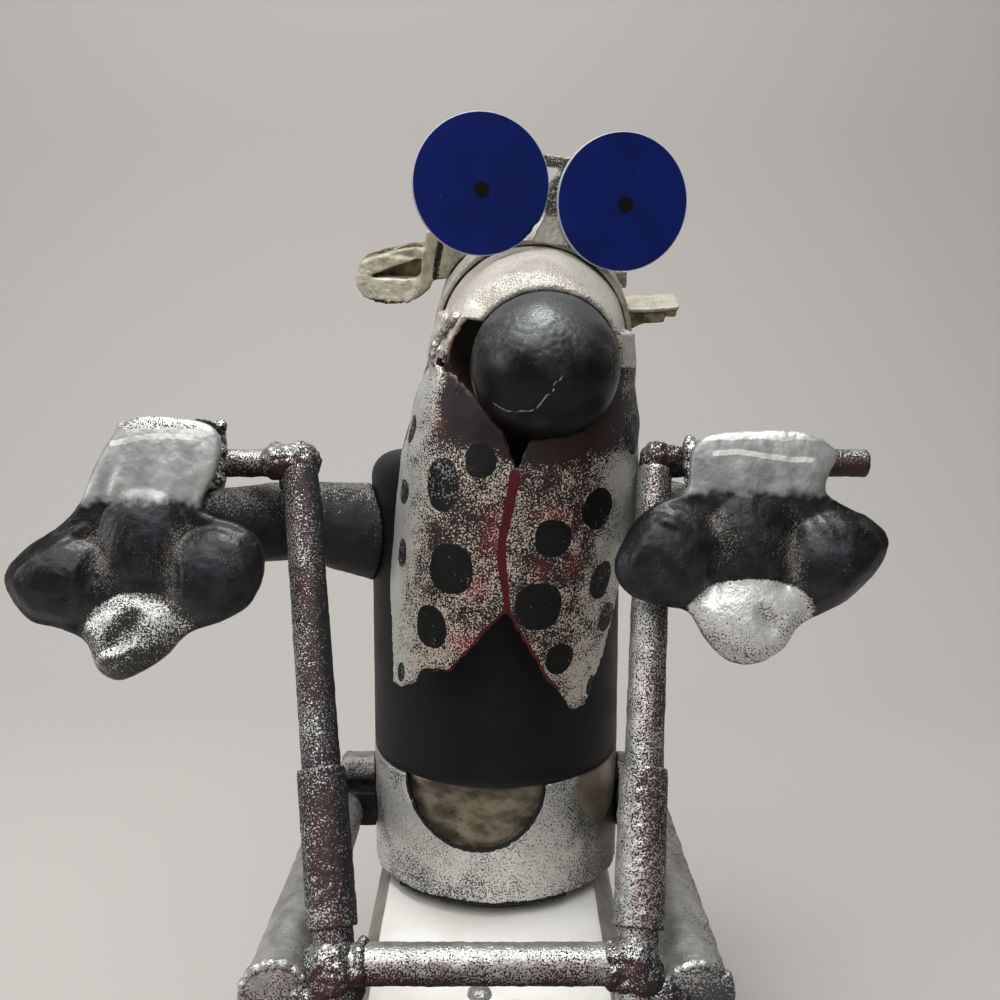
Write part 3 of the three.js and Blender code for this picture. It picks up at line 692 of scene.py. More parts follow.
# %% [markdown]
# ## Body
#
# A drum of black pipe stands on a silver band. A round notch is cut in the band's front, and the
# brown inner pipe shows through it. The notch's edge is burnt and a little ragged.
# %% Drum, core and band
BODY_RADIUS = 50.8
BODY_HEIGHT = 171
BAND_HEIGHT = 50
BAND_WALL = 2.5
SHOULDER = 10
NOTCH_X = -8
NOTCH_RADIUS = 26.5
GAP = 0.3


def drum_profile():
    corners = [(0, BAND_HEIGHT + 0.1), (BODY_RADIUS - 0.6, BAND_HEIGHT + 0.1)]
    corners += [(BODY_RADIUS, height) for height in lengths(BAND_HEIGHT + 0.6, BODY_HEIGHT - SHOULDER, 2.5)]
    for degrees in range(10, 91, 10):
        angle = math.radians(degrees)
        corners.append((
            BODY_RADIUS - SHOULDER * (1 - math.cos(angle)), BODY_HEIGHT - SHOULDER * (1 - math.sin(angle)),
        ))
    return corners + [(0, BODY_HEIGHT)]


def drum_room(top=200):
    """A cutter a little wider than the drum, for what is welded to it."""
    return moved(rod((0, 0, -30), (0, 0, top), BODY_RADIUS + GAP, sides=120, step=60), BODY)


SEAM_DIP = 0.062


def dipped(bm, fixed):
    """Tips the seam down at the front; nothing moves at the fixed height of the body's frame."""
    for corner in bm.verts:
        share = 1 - abs(corner.co.z / MM - BAND_HEIGHT) / abs(fixed - BAND_HEIGHT)
        corner.co.z += SEAM_DIP * corner.co.y * max(share, 0)
    return bm


drum = dipped(roughened(turned(drum_profile(), 160), 0.12, 9, 2), BODY_HEIGHT - SHOULDER)
keep("black_drum", moved(drum, BODY), drum_black, "body_black", "body_drum")

under_seat = moved(block((-99, -99, -99), (99, 199, seat_top + GAP)), BODY.inverted())
HEEL = 6
BAND_LIFT = 1.4
FOOT_RADIUS = 43.5
core_radius = BODY_RADIUS - BAND_WALL - GAP
core = turned([(0, BAND_LIFT)]
              + [(core_radius, height) for height in lengths(BAND_LIFT, BAND_HEIGHT - GAP, 2)]
              + [(0, BAND_HEIGHT - GAP)], 120)
core = dipped(roughened(core, 0.22, 7, 6), BAND_LIFT)
keep("brown_core", moved(core, BODY), belly_metal, "belly_brown", "body_core")

foot_top = BAND_LIFT - 0.1
black_foot = turned([(0, -HEEL), (FOOT_RADIUS, -HEEL), (FOOT_RADIUS, foot_top), (0, foot_top)], 96)
black_foot = cut(black_foot, under_seat)
keep("black_foot", moved(black_foot, BODY), drum_black, "body_black", crease=40)


def band_shape():
    inner = BODY_RADIUS - BAND_WALL
    shell = turned([(inner, BAND_LIFT), (BODY_RADIUS, BAND_LIFT), (BODY_RADIUS, BAND_HEIGHT - GAP),
                    (inner, BAND_HEIGHT - GAP)], 180)
    notch = rod((NOTCH_X, -99, BAND_HEIGHT), (NOTCH_X, 0, BAND_HEIGHT), NOTCH_RADIUS, sides=96, step=50)
    return cut(shell, notch)


def near_notch(place):
    """How close a place of the body's front is to the notch's edge, in millimetres."""
    if place.y > 0:
        return 99.0
    across = math.hypot(place.x / MM - NOTCH_X, place.z / MM - BAND_HEIGHT)
    return abs(across - NOTCH_RADIUS)


def band_dent(place, normal):
    ragged = max(0.0, 1 - near_notch(place) / 3) * 0.5 * cloud(place, 2.2, 4)
    low = max(0.0, 1 - (place.z / MM - BAND_LIFT) / 4) * 0.5 * cloud(place, 3.5, 15)
    return 0.35 * cloud(place, 12, 8) + ragged + low


band = pushed(fine(band_shape(), 0.9), band_dent)
PATCH_ANGLE = 57
PATCH_LEVEL = 46
PATCH_SIZE = (18, 21)


def worn_patch(place):
    """Above 0 on the smooth worn patch at the right of the band, just under the drum."""
    arc = (math.degrees(math.atan2(place.x, -place.y)) - PATCH_ANGLE) * math.radians(1) * BODY_RADIUS
    drop = place.z / MM - PATCH_LEVEL
    return 1 - math.hypot(arc / PATCH_SIZE[0], drop / PATCH_SIZE[1])


painted(band, "patch", worn_patch)
painted(band, "burn", lambda place: 1 - near_notch(place) / 1.6)
dipped(band, BAND_LIFT)


def band_finish():
    finish = Finish("band_silver")
    clouds = finish.noise(18, detail=3)
    violet = finish.noise(24, detail=2, seed=3.0).step(0.42, 0.6) * finish.right.step(0.0, -0.5)
    # Where the band faces right, the grains thin out and both ground and grains turn dark: painted shade on
    # its right side.
    share = finish.up * 0.4 + (clouds - 0.5) * 0.7 + 0.68 - violet * 0.22 - finish.right.step(0.3, 0.9) * 0.25
    grains = finish.speckle(share, 0.55)
    side = finish.right.step(0.4, 0.95)
    ground = finish.blend(violet, colour(96, 95, 93), colour(84, 83, 98))
    ground = finish.blend(side, ground, colour(40, 38, 36))
    over = finish.blend(finish.noise(5, detail=3), colour(236, 234, 228), colour(206, 205, 200))
    over = finish.blend(side, over, colour(96, 93, 88))
    metal = finish.blend(grains, ground, over)
    patch = (finish.attribute("patch") + (finish.noise(4) - 0.5) * 0.3).step(0.0, 0.12)
    smooth = finish.blend(finish.noise(14).step(0.35, 0.65), colour(122, 113, 99), colour(152, 142, 126))
    burn = finish.attribute("burn").step(0.2, 0.9) * finish.noise(1.6, detail=3).step(0.38, 0.6)
    base = finish.blend(burn, finish.blend(patch, metal, smooth), colour(26, 24, 23))
    relief = (grains * 0.4 + finish.noise(0.9, detail=3)) * (1 - patch) + burn * 0.5
    return finish.dress(base, 0.4 + burn * 0.2, grains * (1 - patch) * 0.35 + 0.55, relief, 0.35)


keep("hip_band", moved(band, BODY), band_finish(), "body_silver", "body_band")

# %% [markdown]
# ## Burnt beads of the body
#
# A thin dark bead follows the notch's edge, with the same dip as the seam above it. Another follows
# the front of the band's foot, where nothing dips. Both lines are worked out on the pipe.
# %% Welds of the body
NOTCH_BEAD_SWEEP = (184, 357)
FOOT_BEAD_SWEEP = (222, 305)
BEAD_DEPTH = 49


def on_band(x, z):
    """A place in metres on the band's front, dipped as the seam is."""
    depth = math.sqrt(max((BODY_RADIUS - 0.4) ** 2 - x * x, 0))
    return BODY @ (Vector((x, -depth, z - SEAM_DIP * BEAD_DEPTH * z / BAND_HEIGHT)) * MM)


notch_edge = [
    on_band(NOTCH_X + NOTCH_RADIUS * math.cos(angle), BAND_HEIGHT + NOTCH_RADIUS * math.sin(angle))
    for angle in (math.radians(degrees) for degrees in range(*NOTCH_BEAD_SWEEP, 4))
]
foot_ring = [
    BODY @ (Vector((
        (BODY_RADIUS - 1) * math.cos(angle), (BODY_RADIUS - 1) * math.sin(angle), BAND_LIFT - 0.5,
    )) * MM)
    for angle in (math.radians(degrees) for degrees in range(*FOOT_BEAD_SWEEP, 3))
]
burnt = Finish("burnt_bead")
burnt.dress(colour(22, 21, 21), 0.5, 0.3, burnt.noise(1.2, detail=3), 0.3)
weld("notch_bead", notch_edge, 0.75, "body_silver", 21, burnt, 0.4)
weld("foot_bead", foot_ring, 1.0, "body_black", 22, burnt, 0.5)

# %% [markdown]
# ## Handlebars
#
# Two rods rise from the base, lean back and spread. A sleeve is slipped over each, a bar joins
# them low down, and a thinner grip is welded across each top. Every joint is a lump of weld.
# %% Uprights, sleeves, grips and crossbar
ROD_RADIUS = 6.35
SLEEVE_RADIUS = 7.95
SLEEVE_LENGTH = 49
crossbar_middle = middle("crossbar") / MM
grip_middle = middle("grip_left") / MM
grip_radius = (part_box("grip_left")[1].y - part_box("grip_left")[0].y) / 2 / MM
LOW_X = {"left": -49.3, "right": 44.1}
HIGH_X = {"left": -70.9, "right": 57.7}
SIGN = {"left": -1, "right": 1}


def upright_at(side, level):
    share = (level - crossbar_middle.z) / (grip_middle.z - crossbar_middle.z)
    return Vector((
        LOW_X[side] + (HIGH_X[side] - LOW_X[side]) * share,
        crossbar_middle.y + (grip_middle.y - crossbar_middle.y) * share,
        level,
    ))


base_top = base_high.z / MM
for number, side in enumerate(("left", "right")):
    foot = upright_at(side, base_top - 3)
    top = upright_at(side, grip_middle.z - grip_radius * 0.4)
    shaft = cut(rod(foot, top, ROD_RADIUS, sides=44), block((-150, -250, -50), (150, 250, base_top + GAP)))
    shaft = roughened(shaft, 0.22, 2.6, number)
    keep(f"raked_rod_{side}", shaft, bar_paints[side], "handlebar_silver", f"upright_{side}")

    low = upright_at(side, crossbar_middle.z)
    lean = (upright_at(side, grip_middle.z) - low).normalized()
    start = low + lean * (ROD_RADIUS + SLEEVE_RADIUS / 2)
    profile = [(SLEEVE_RADIUS, height) for height in lengths(0, SLEEVE_LENGTH, 1.2)]
    profile += [(ROD_RADIUS + 0.4, SLEEVE_LENGTH), (ROD_RADIUS + 0.4, 0)]
    tube = moved(turned(profile, 56), onto(start * MM, (start + lean) * MM))
    tube = roughened(fine(tube, 0.7), 0.3, 2.4, 7 + number)
    keep(f"slipped_tube_{side}", tube, bar_paints[side], "handlebar_silver", f"sleeve_{side}")

    grip_low, grip_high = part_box(f"grip_{side}")
    grip_line = [Vector((x, middle(f"grip_{side}").y, middle(f"grip_{side}").z)) / MM
                 for x in (grip_low.x, grip_high.x)]
    grip = roughened(rod(*grip_line, grip_radius, sides=36, step=1.2), 0.3, 3.2, 12 + number)
    keep(f"handle_{side}", grip, top_paints[side], "handlebar_silver", f"grip_{side}")

cross_low, cross_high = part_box("crossbar")
cross = rod(
    (cross_low.x / MM, crossbar_middle.y, crossbar_middle.z),
    (cross_high.x / MM, crossbar_middle.y, crossbar_middle.z), ROD_RADIUS, sides=44, step=1.2,
)
keep("cross_rod", roughened(cross, 0.25, 2.8, 15), cross_paint, "handlebar_silver", "crossbar")

# %% [markdown]
# ## Weld lumps of the handlebars
#
# The joints of the handlebars are not neat beads but lumps that were built up. Larger drops, closer
# together and strongly roughened, give that shape, and the lump keeps the paint of its rods.
# %% Weld lumps of the handlebars
for number, side in enumerate(("left", "right")):
    sign = SIGN[side]
    corner = upright_at(side, grip_middle.z) * MM
    reach = Vector((sign * 9, 0, 0)) * MM
    lump = drops([corner - Vector((0, 0, 7)) * MM, corner, corner + reach], 6.6, 30 + number, gap=0.4)
    lump = roughened(fine(lump, 0.6), 0.8, 3.2, 31 + number)
    keep(f"corner_weld_{side}", lump, top_paints[side], "handlebar_silver")

    joint = upright_at(side, crossbar_middle.z) * MM
    inward = Vector((-sign * 8, 0, 0)) * MM
    span = [joint + Vector((0, 0, -9)) * MM, joint + Vector((0, -1, 2)) * MM]
    bead = drops(span, 7.6, 40 + number, gap=0.35)
    inner = drops(ring(joint + inward, (1, 0, 0), 5.6), 2.0, 44 + number)
    joint_lump = roughened(fine(joined(bead, inner), 0.6), 0.7, 3.0, 45 + number)
    keep(f"joint_weld_{side}", joint_lump, bar_paint, "handlebar_silver")

    foot = upright_at(side, base_top) * MM
    bead_ring = ring(foot, (0, 0, 1), ROD_RADIUS)
    weld(f"foot_weld_{side}", bead_ring, 1.7, "base_steel", 50 + number, base_steel, 0.6)

# %% [markdown]
# ## Legs
#
# A fat tapered pipe runs forward from each hip to the knee, where a bead of weld closes it. A dark
# block and a rounded lug hold it to the band. Shins and feet are below the picture and plainer.
# %% Thighs, hips, shins and feet
THIGH_X = {"left": -67.3, "right": 62.6}
HIP_X = {"left": -64.3, "right": 61.2}
FOOT_X = {"left": -71, "right": 67}
KNEE_Y = -47
HIP_RADIUS = 9.6
KNEE_RADIUS = 10.6
SHIN_RADIUS = 8.5
BOSS_RADIUS = 6
thigh_level = (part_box("thigh_left")[0].z + KNEE_RADIUS * MM) / MM
black_iron = Finish("black_iron")
black_iron.dress(
    black_iron.blend(black_iron.noise(6, detail=4).step(0.4, 0.7), colour(20, 20, 22), colour(52, 52, 54)),
    0.55, 0.3, black_iron.noise(1.5, detail=3), 0.3,
)

for number, side in enumerate(("left", "right")):
    sign = SIGN[side]
    hip_low, hip_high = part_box(f"hip_block_{side}")
    hip_end = (HIP_X[side], hip_low.y / MM - GAP, thigh_level)
    knee_end = (THIGH_X[side], KNEE_Y, thigh_level)
    thigh = rod(hip_end, knee_end, HIP_RADIUS, KNEE_RADIUS, sides=56, step=1.8, edge=1.6)
    thigh = roughened(thigh, 0.35, 5, 60 + number)
    keep(f"thigh_pipe_{side}", thigh, leg_paints[side], "leg_silver", f"thigh_{side}")
    knee = Vector(knee_end) * MM
    knee_ring = ring(knee + Vector((0, 2, 0)) * MM, (0, 1, 0), KNEE_RADIUS - 0.6, count=36)
    weld(f"knee_bead_{side}", knee_ring, 1.9, "leg_silver", 62 + number, leg_paints[side], 0.6)
    bridge = upright_at(side, thigh_level) * MM
    span = [bridge, bridge.lerp(knee, 0.55), knee + Vector((-sign * 6, 1, -4)) * MM]
    lump = roughened(fine(drops(span, 5.2, 64 + number, gap=0.4), 0.7), 0.9, 3.4, 66 + number)
    keep(f"knee_weld_{side}", lump, bar_paint, "handlebar_silver")

    hip_block = cut(block(hip_low / MM, hip_high / MM), drum_room())
    hip_block = roughened(softened(fine(hip_block, 0.7), 2), 0.3, 4, 70 + number)
    keep(f"hip_iron_{side}", hip_block, black_iron, "body_black", f"hip_block_{side}")

    boss_low, boss_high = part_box(f"hip_boss_{side}")
    boss_level = (boss_low.z + boss_high.z) / 2 / MM
    boss_y = (boss_low.y + boss_high.y) / 2 / MM
    outer = (boss_low.x if sign < 0 else boss_high.x) / MM
    lug = rod((sign * 30, boss_y, boss_level), (outer, boss_y, boss_level), BOSS_RADIUS, edge=2.4)
    lug = roughened(fine(cut(lug, drum_room()), 0.6), 0.5, 4, 72 + number)
    keep(f"hip_lug_{side}", lug, leg_paints[side], "leg_silver", f"hip_boss_{side}")

    foot_low, foot_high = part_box(f"foot_{side}")
    shin_top = (THIGH_X[side], KNEE_Y + KNEE_RADIUS, thigh_level)
    shin = rod((FOOT_X[side], KNEE_Y, foot_high.z / MM - 4), shin_top, SHIN_RADIUS, sides=44, step=3)
    thigh_room = rod(hip_end, knee_end, HIP_RADIUS + GAP, KNEE_RADIUS + GAP, sides=64, step=40)
    foot_room = block((-120, -150, -9), (120, 90, foot_high.z / MM + GAP))
    shin = roughened(cut(shin, thigh_room, foot_room), 0.3, 5, 74 + number)
    keep(f"shin_pipe_{side}", shin, leg_paints[side], "leg_silver", f"shin_{side}", crease=50)

    shoe = rounded_block(foot_low, foot_high, 11, 3.6)
    shoe = roughened(softened(fine(shoe, 1.2), 3), 0.5, 8, 76 + number)
    keep(f"shoe_{side}", shoe, black_iron, "hand_black", f"foot_{side}")

# %% [markdown]
# ## Arms
#
# Each arm is two tapered tubes: one from the drum to the elbow and one forward to the back of the
# palm. Their hammered dark skin carries only a little silver.
# %% Upper arms and forearms
ARM = {
    "left": {"elbow": (-76.3, 69), "wrist": (-112, 20)},
    "right": {"elbow": (66, 69), "wrist": (87, 20)},
}
SHOULDER_RADIUS = 21
ELBOW_RADIUS = 15
FOREARM_RADIUS = 15.6
WRIST_RADIUS = 12.5
SHOULDER_DROP = 34
PALM_BACK = 0.5
shoulder = BODY @ (Vector((0, 0, BODY_HEIGHT - SHOULDER_DROP)) * MM) / MM

for number, side in enumerate(("left", "right")):
    sign = SIGN[side]
    elbow = Vector((*ARM[side]["elbow"], shoulder.z + 11))
    wrist = Vector((*ARM[side]["wrist"], HAND_PLACES[side][2] + 2))
    start = Vector((sign * BODY_RADIUS * 0.8, shoulder.y - 3, shoulder.z))
    upper = rod(start, elbow, SHOULDER_RADIUS, ELBOW_RADIUS, sides=72, step=2.4, edge=3)
    upper = cut(upper, drum_room(BODY_HEIGHT + GAP))
    upper = roughened(fine(upper, 1.0), 0.35, 6, 80 + number)
    keep(f"upper_tube_{side}", upper, arm_paint, "arm_dark", f"upper_arm_{side}")

    reach = (wrist - elbow).normalized()
    before = elbow - reach * ELBOW_RADIUS * 0.5
    past = wrist + reach * 16
    fore = rod(before, past, FOREARM_RADIUS, WRIST_RADIUS, sides=72, step=2.4, edge=4)
    palm_room = moved(block((-200, -200, -200), (200, PALM_BACK + GAP, 200)), HANDS[side])
    fore = roughened(fine(cut(fore, palm_room), 1.0), 0.4, 6, 82 + number)
    keep(f"fore_tube_{side}", fore, arm_paint, "arm_dark", f"forearm_{side}")

# %% [markdown]
# ## Hands
#
# A paw is one thick sheet, cut to an outline, hammered into round lobes and folded back over the
# grip at its top. The outline is a smooth line through points; the lobes are round bumps, and where
# two meet the larger one wins, which leaves the creases. Paint follows the form: black lobes, a
# silver thumb, a grey cuff with a worn white line, and silver dust in the creases.
# %% Hand outlines and lobes
SHEET = 4.5
# A lobe, dent or ridge is its middle across and up, its two half sizes, its tilt and its height.
PAWS = {
    "left": {
        "outline": [
            (-3, 40.7), (5, 43), (23, 40.7), (28.5, 35), (27.3, 26), (22, 13.5), (27, 9.3), (34, 7.3),
            (40.3, 3), (43, -3.5), (42, -12), (37.5, -20), (28.7, -25.3), (18, -29), (10, -37),
            (0.7, -42.7), (-6, -44.5), (-12, -41), (-16, -31.7), (-25.3, -27.3), (-34, -25), (-41, -17),
            (-42.6, -9), (-36, -1), (-24, 7.3), (-18, 14), (-14.7, 22.3), (-9.5, 33),
        ],
        "lobes": [
            (-24, -11, 20, 14.5, -10, 7.0), (26.5, -9.5, 18, 15.5, 18, 7.0), (3.5, 0, 15, 20, 0, 4.6),
            (-1.5, -30, 17, 15, 25, 5.4), (3, 28, 30, 16, 0, 1.6),
        ],
        "dents": [(-1.5, -28, 5.0, 9.5, -35, 3.0), (-12.5, -10, 4, 12, -12, 1.8), (13.5, -8, 4, 14, 8, 1.6)],
        "ridges": [(-20, 3.6, 8, 2.6, 28, 1.3), (-6, -36, 12, 2.4, 20, 1.4), (-5, 20, 2.6, 8, -20, 1.0)],
        "thumb": (2.8, -29.2, 18.4, 14.0),
        "cuff_line": 14.8,
        "cuff": (-7, 20.5),
        "creases": [[(-12.7, 3), (-9.5, -6), (-7.2, -14)], [(17, 6), (12.5, -3), (11.5, -10), (16, -22)]],
        "white_line": [(-6.7, 33.8), (-2, 34.4), (4, 35.9), (12, 36), (19.6, 35.7)],
        "rim_line": 38.6,
        "top": 43.0,
        "silver": 0.0,
    },
    "right": {
        "outline": [
            (-19.3, 32.7), (-12, 37), (8, 38.3), (19, 37), (28, 31.3), (25.5, 23.5), (24, 18.3),
            (30.3, 13.3), (38.3, 9.7), (45, 3), (43, -6), (37, -13), (30, -19), (21, -23.5), (15, -27),
            (10, -34.5), (0.3, -39.3), (-9, -37.5), (-16, -30), (-20.7, -22.3), (-28, -20.3),
            (-37, -18), (-43.5, -13), (-45.2, -5), (-40, 6), (-33, 13), (-22, 18), (-20.7, 25),
        ],
        "lobes": [
            (-27.5, -3.5, 19, 17, 12, 7.0), (27.5, -5.5, 18, 16.5, 35, 7.0), (-0.5, -1, 15, 20, 0, 4.6),
            (-1.5, -24.5, 19, 15, 0, 5.6), (3, 25, 30, 15, 0, 1.6),
        ],
        "dents": [(4.5, -25, 4.5, 8, 38, 2.6), (-13, -10, 4, 12, -8, 1.6), (11.5, -3, 4, 14, -12, 1.8)],
        "ridges": [(-30, 9, 12, 2.2, -24, 1.2), (-26, 12, 13, 1.4, -24, 0.9), (22, 8, 3, 9, 30, 0.8)],
        "thumb": (-0.6, -21.6, 20.5, 10.8),
        "cuff_line": 17.4,
        "cuff": (-13.5, 25),
        "creases": [[(14.5, 12), (10.7, -1.3), (13.8, -13)], [(-11, 8), (-9, -3.3)]],
        "white_line": [(-12.7, 30.4), (-5.3, 31), (5.5, 29.3), (12, 28.4), (19.2, 28.3)],
        "rim_line": 34.8,
        "top": 38.3,
        "silver": 0.3,
    },
}
CUFF_DEEP = 24
CUFF_ROUND = 6
print("points of the paws' outlines:", {side: len(paw["outline"]) for side, paw in PAWS.items()})


def bump_share(x, z, bump):
    """1 at the middle of a tilted oval bump and 0 outside it."""
    middle_x, middle_z, half_x, half_z, tilt = bump[:5]
    cosine, sine = math.cos(math.radians(tilt)), math.sin(math.radians(tilt))
    along = ((x - middle_x) * cosine + (z - middle_z) * sine) / half_x
    across = ((z - middle_z) * cosine - (x - middle_x) * sine) / half_z
    return max(0.0, 1 - along * along - across * across)


def relief_at(paw, x, z):
    """Height of the hammered sheet in millimetres; lobes meet in creases."""
    swell = [bump[5] * bump_share(x, z, bump) ** 0.7 for bump in paw["lobes"]]
    soft = sum(height ** 3 for height in swell) ** (1 / 3)
    ridges = sum(bump[5] * bump_share(x, z, bump) ** 1.5 for bump in paw["ridges"])
    dents = sum(bump[5] * bump_share(x, z, bump) ** 1.2 for bump in paw["dents"])
    return soft + ridges - dents


def line_distance(x, z, line):
    """Distance in the same unit from a place to a line through points."""
    here = Vector((x, z))
    best = 99.0
    for start, end in zip(line, line[1:]):
        a, b = Vector(start), Vector(end)
        share = min(max((here - a).dot(b - a) / (b - a).length_squared, 0), 1)
        best = min(best, (here - a.lerp(b, share)).length)
    return best


def outline_distance(x, z, outline):
    return line_distance(x, z, outline + outline[:1])


# %% [markdown]
# ## Hammering the sheet
#
# The flat paw and the folded cuff are remeshed into one skin, and every corner in front is then
# lifted by the height of the relief at its place. The lift fades out toward the outline, so the
# edge of the sheet keeps its true shape. The finish needs to know where thumb, cuff, creases and
# worn line lie, so those are left on the corners as fields.
# %% Hammer the hands
def paw_mesh(side, paw, seed):
    """The hand in its own frame, in metres: y forward is -Y."""
    contour = [(point.x, point.y) for point in curve_through(paw["outline"], 5)]
    sheet = plate(contour, -SHEET + PALM_BACK, PALM_BACK)
    grip = HANDS[side].inverted() @ middle(f"grip_{side}")
    left, right = paw["cuff"]
    top, bottom = paw["top"] - 1.2, paw["top"] - CUFF_DEEP
    folded = block((left, -2, bottom), (right, grip.y / MM + grip_radius + 3, top))
    bevelled(folded, [e for e in folded.edges if abs(e.verts[0].co.x - e.verts[1].co.x) > MM], CUFF_ROUND, 5)
    bm = softened(fine(joined(sheet, folded), 0.85), 4)

    def hammer(place):
        x, z = place.x / MM, place.z / MM
        inside = min(outline_distance(x, z, contour) / 5, 1)
        depth = min(max((3 - place.y / MM) / 3, 0), 1)
        return relief_at(paw, x, z) * inside ** 0.7 * depth

    heights = [hammer(corner.co) for corner in bm.verts]
    for corner, height in zip(bm.verts, heights):
        corner.co.y -= height * MM
    return roughened(softened(bm, 1), 0.2, 5, seed)


# %% Paint of the hands
def paint_paw(bm, paw):
    """Leaves the fields that the hands' finish reads, as millimetres or shares."""
    middle_x, middle_z, half_x, half_z = paw["thumb"]

    def thumb(place):
        x, z = place.x / MM, place.z / MM
        across = math.hypot((x - middle_x) / half_x, max(z - middle_z, 0) / half_z)
        return (1 - across) * half_z + 0.5 * cloud(place, 5, 3)

    def crease(place):
        near = min(line_distance(place.x / MM, place.z / MM, line) for line in paw["creases"])
        return max(0.0, 1 - near / 7)

    painted(bm, "thumb", thumb)
    # The share of the thumb's hollow, where the finish paints shade.
    painted(bm, "hollow_shade", lambda place: bump_share(place.x / MM, place.z / MM, paw["dents"][0]))
    painted(bm, "silver", lambda place: paw["silver"])
    painted(bm, "crease", crease)
    painted(bm, "cuff", lambda place: place.z / MM - paw["cuff_line"] + 1.2 * cloud(place, 9, 6))
    painted(bm, "white_line", lambda p: line_distance(p.x / MM, p.z / MM, paw["white_line"]) + (p.y > 0) * 9)
    painted(bm, "rim", lambda place: place.z / MM - paw["rim_line"] + 0.6 * cloud(place, 6, 2))
    return bm


def paw_finish():
    finish = Finish("paw_paint")
    clouds = finish.noise(8, detail=3)
    # Lighter blue-grey patches on the black lobes are a painted sheen.
    painted_sheen = finish.noise(7, detail=4).step(0.4, 0.75)
    black = finish.blend(painted_sheen, colour(14, 14, 17), colour(36, 37, 42))
    dusted = finish.attribute("crease") * 0.38 + finish.up * 0.1 + (clouds - 0.5) * 0.8
    dust = finish.speckle(dusted, 0.45, soft=0.12)
    black = finish.blend(dust * 0.6, black, colour(140, 132, 120))
    worn = finish.noise(9, detail=4, seed=3.0).step(0.3, 0.7)
    grey = finish.blend(worn, colour(148, 151, 149), colour(190, 192, 189))
    grey = finish.blend(finish.attribute("silver"), grey, colour(74, 77, 78))
    cuff_edge = finish.attribute("cuff") + (finish.noise(4, detail=3, seed=1.0) - 0.5) * 7
    cuff = cuff_edge.step(-2.0, 2.4)
    base = finish.blend(cuff, black, grey)
    thumb = (finish.attribute("thumb") + (finish.noise(0.8) - 0.5) * 1.6).step(-0.4, 0.4)
    # Fewer silver grains in the thumb's hollow darken it: painted shade.
    grains = finish.speckle(
        finish.up * 0.4 - finish.attribute("hollow_shade") * 0.16 + 0.38 + finish.attribute("silver") * 1.2
        + (clouds - 0.5) * 0.6, 0.5,
    )
    silver = finish.blend(grains, colour(48, 46, 44), colour(210, 209, 204))
    base = finish.blend(thumb, base, silver)
    rim = finish.attribute("rim").step(-0.3, 0.5)
    base = finish.blend(rim, base, silver)
    line = (finish.attribute("white_line") + (finish.noise(2.5) - 0.5) * 0.8).step(1.0, 0.8)
    base = finish.blend(line, base, colour(212, 210, 202))
    metal = cuff * 0.45 + thumb * grains * 0.45 + rim * grains * 0.3
    relief = finish.noise(1.0, detail=2) * (thumb * 0.6 + 0.15) + finish.noise(5, detail=2, seed=6.0) * 1.6
    return finish.dress(base, 0.36 + cuff * 0.06, metal, relief, 0.4)


paw_paint = paw_finish()
for number, side in enumerate(("left", "right")):
    paw = paint_paw(paw_mesh(side, PAWS[side], 90 + number), PAWS[side])
    keep(f"paw_{side}", moved(paw, HANDS[side]), paw_paint, "hand_black", f"hand_{side}")

# %% [markdown]
# ## Cuff welds and torn wire
#
# The folded cuff is closed by a short bead on the side that faces the rod, and a stub of torn wire
# sticks out at the top of the left one.
# %% Welds and torn wire at the cuffs
CUFF_SEAM_X = {"left": 26.5, "right": -19}
for number, side in enumerate(("left", "right")):
    low, high = PAWS[side]["top"] - CUFF_DEEP + 3, PAWS[side]["top"] - 3
    seam = [HANDS[side] @ (Vector((CUFF_SEAM_X[side], 3 + 2 * share, low + (high - low) * share)) * MM)
            for share in (0, 0.35, 0.7, 1)]
    lump = roughened(fine(drops(seam, 2.2, 95 + number), 0.5), 0.6, 2.2, 97 + number)
    keep(f"cuff_weld_{side}", lump, weld_metal, "hand_black")

WIRE = [(20, 0, 41.5), (23.5, 1, 41), (26.5, 2, 38.4), (28, 4, 37.4)]
wire = [HANDS["left"] @ (Vector(place) * MM) for place in WIRE]
weld("torn_wire", wire, 0.75, "hand_black", 99, black_iron, 0.35)

# %% [markdown]
# ## Nose
#
# The nose is a two-inch ball with a rough cast skin on its upper half and a fine pale crack that
# wanders over its front. The roughness is real relief on a fine sphere, not only shading.
# %% Nose ball
NOSE_RADIUS = 25.4
CRACK = [(-17.6, -10.5), (-14.5, -12.2), (-11.9, -12.9), (-8.5, -12.4), (-5.1, -12.2), (-2.2, -9.6),
         (-0.4, -6.9), (1.4, -6.2), (1.9, -3.2), (3.6, -2.0), (5.1, -0.3)]
CRACK_LINE = [(point.x, point.y) for point in curve_through(CRACK, 4, closed=False)]
ball = bmesh.new()
bmesh.ops.create_icosphere(ball, subdivisions=6, radius=NOSE_RADIUS * MM)


def cast_skin(place, normal):
    """Pebbled over the upper half, most of all across the middle of it."""
    level = place.z / (NOSE_RADIUS * MM) + 0.18 * place.x / (NOSE_RADIUS * MM)
    pebbled = max(0.0, 1 - abs(level - 0.38) / 0.5)
    stretched = Vector((place.x, place.y, place.z * 1.6))
    return pebbled * 0.6 * cloud(stretched, 1.4, 5, 2) + 0.1 * cloud(place, 9, 2)


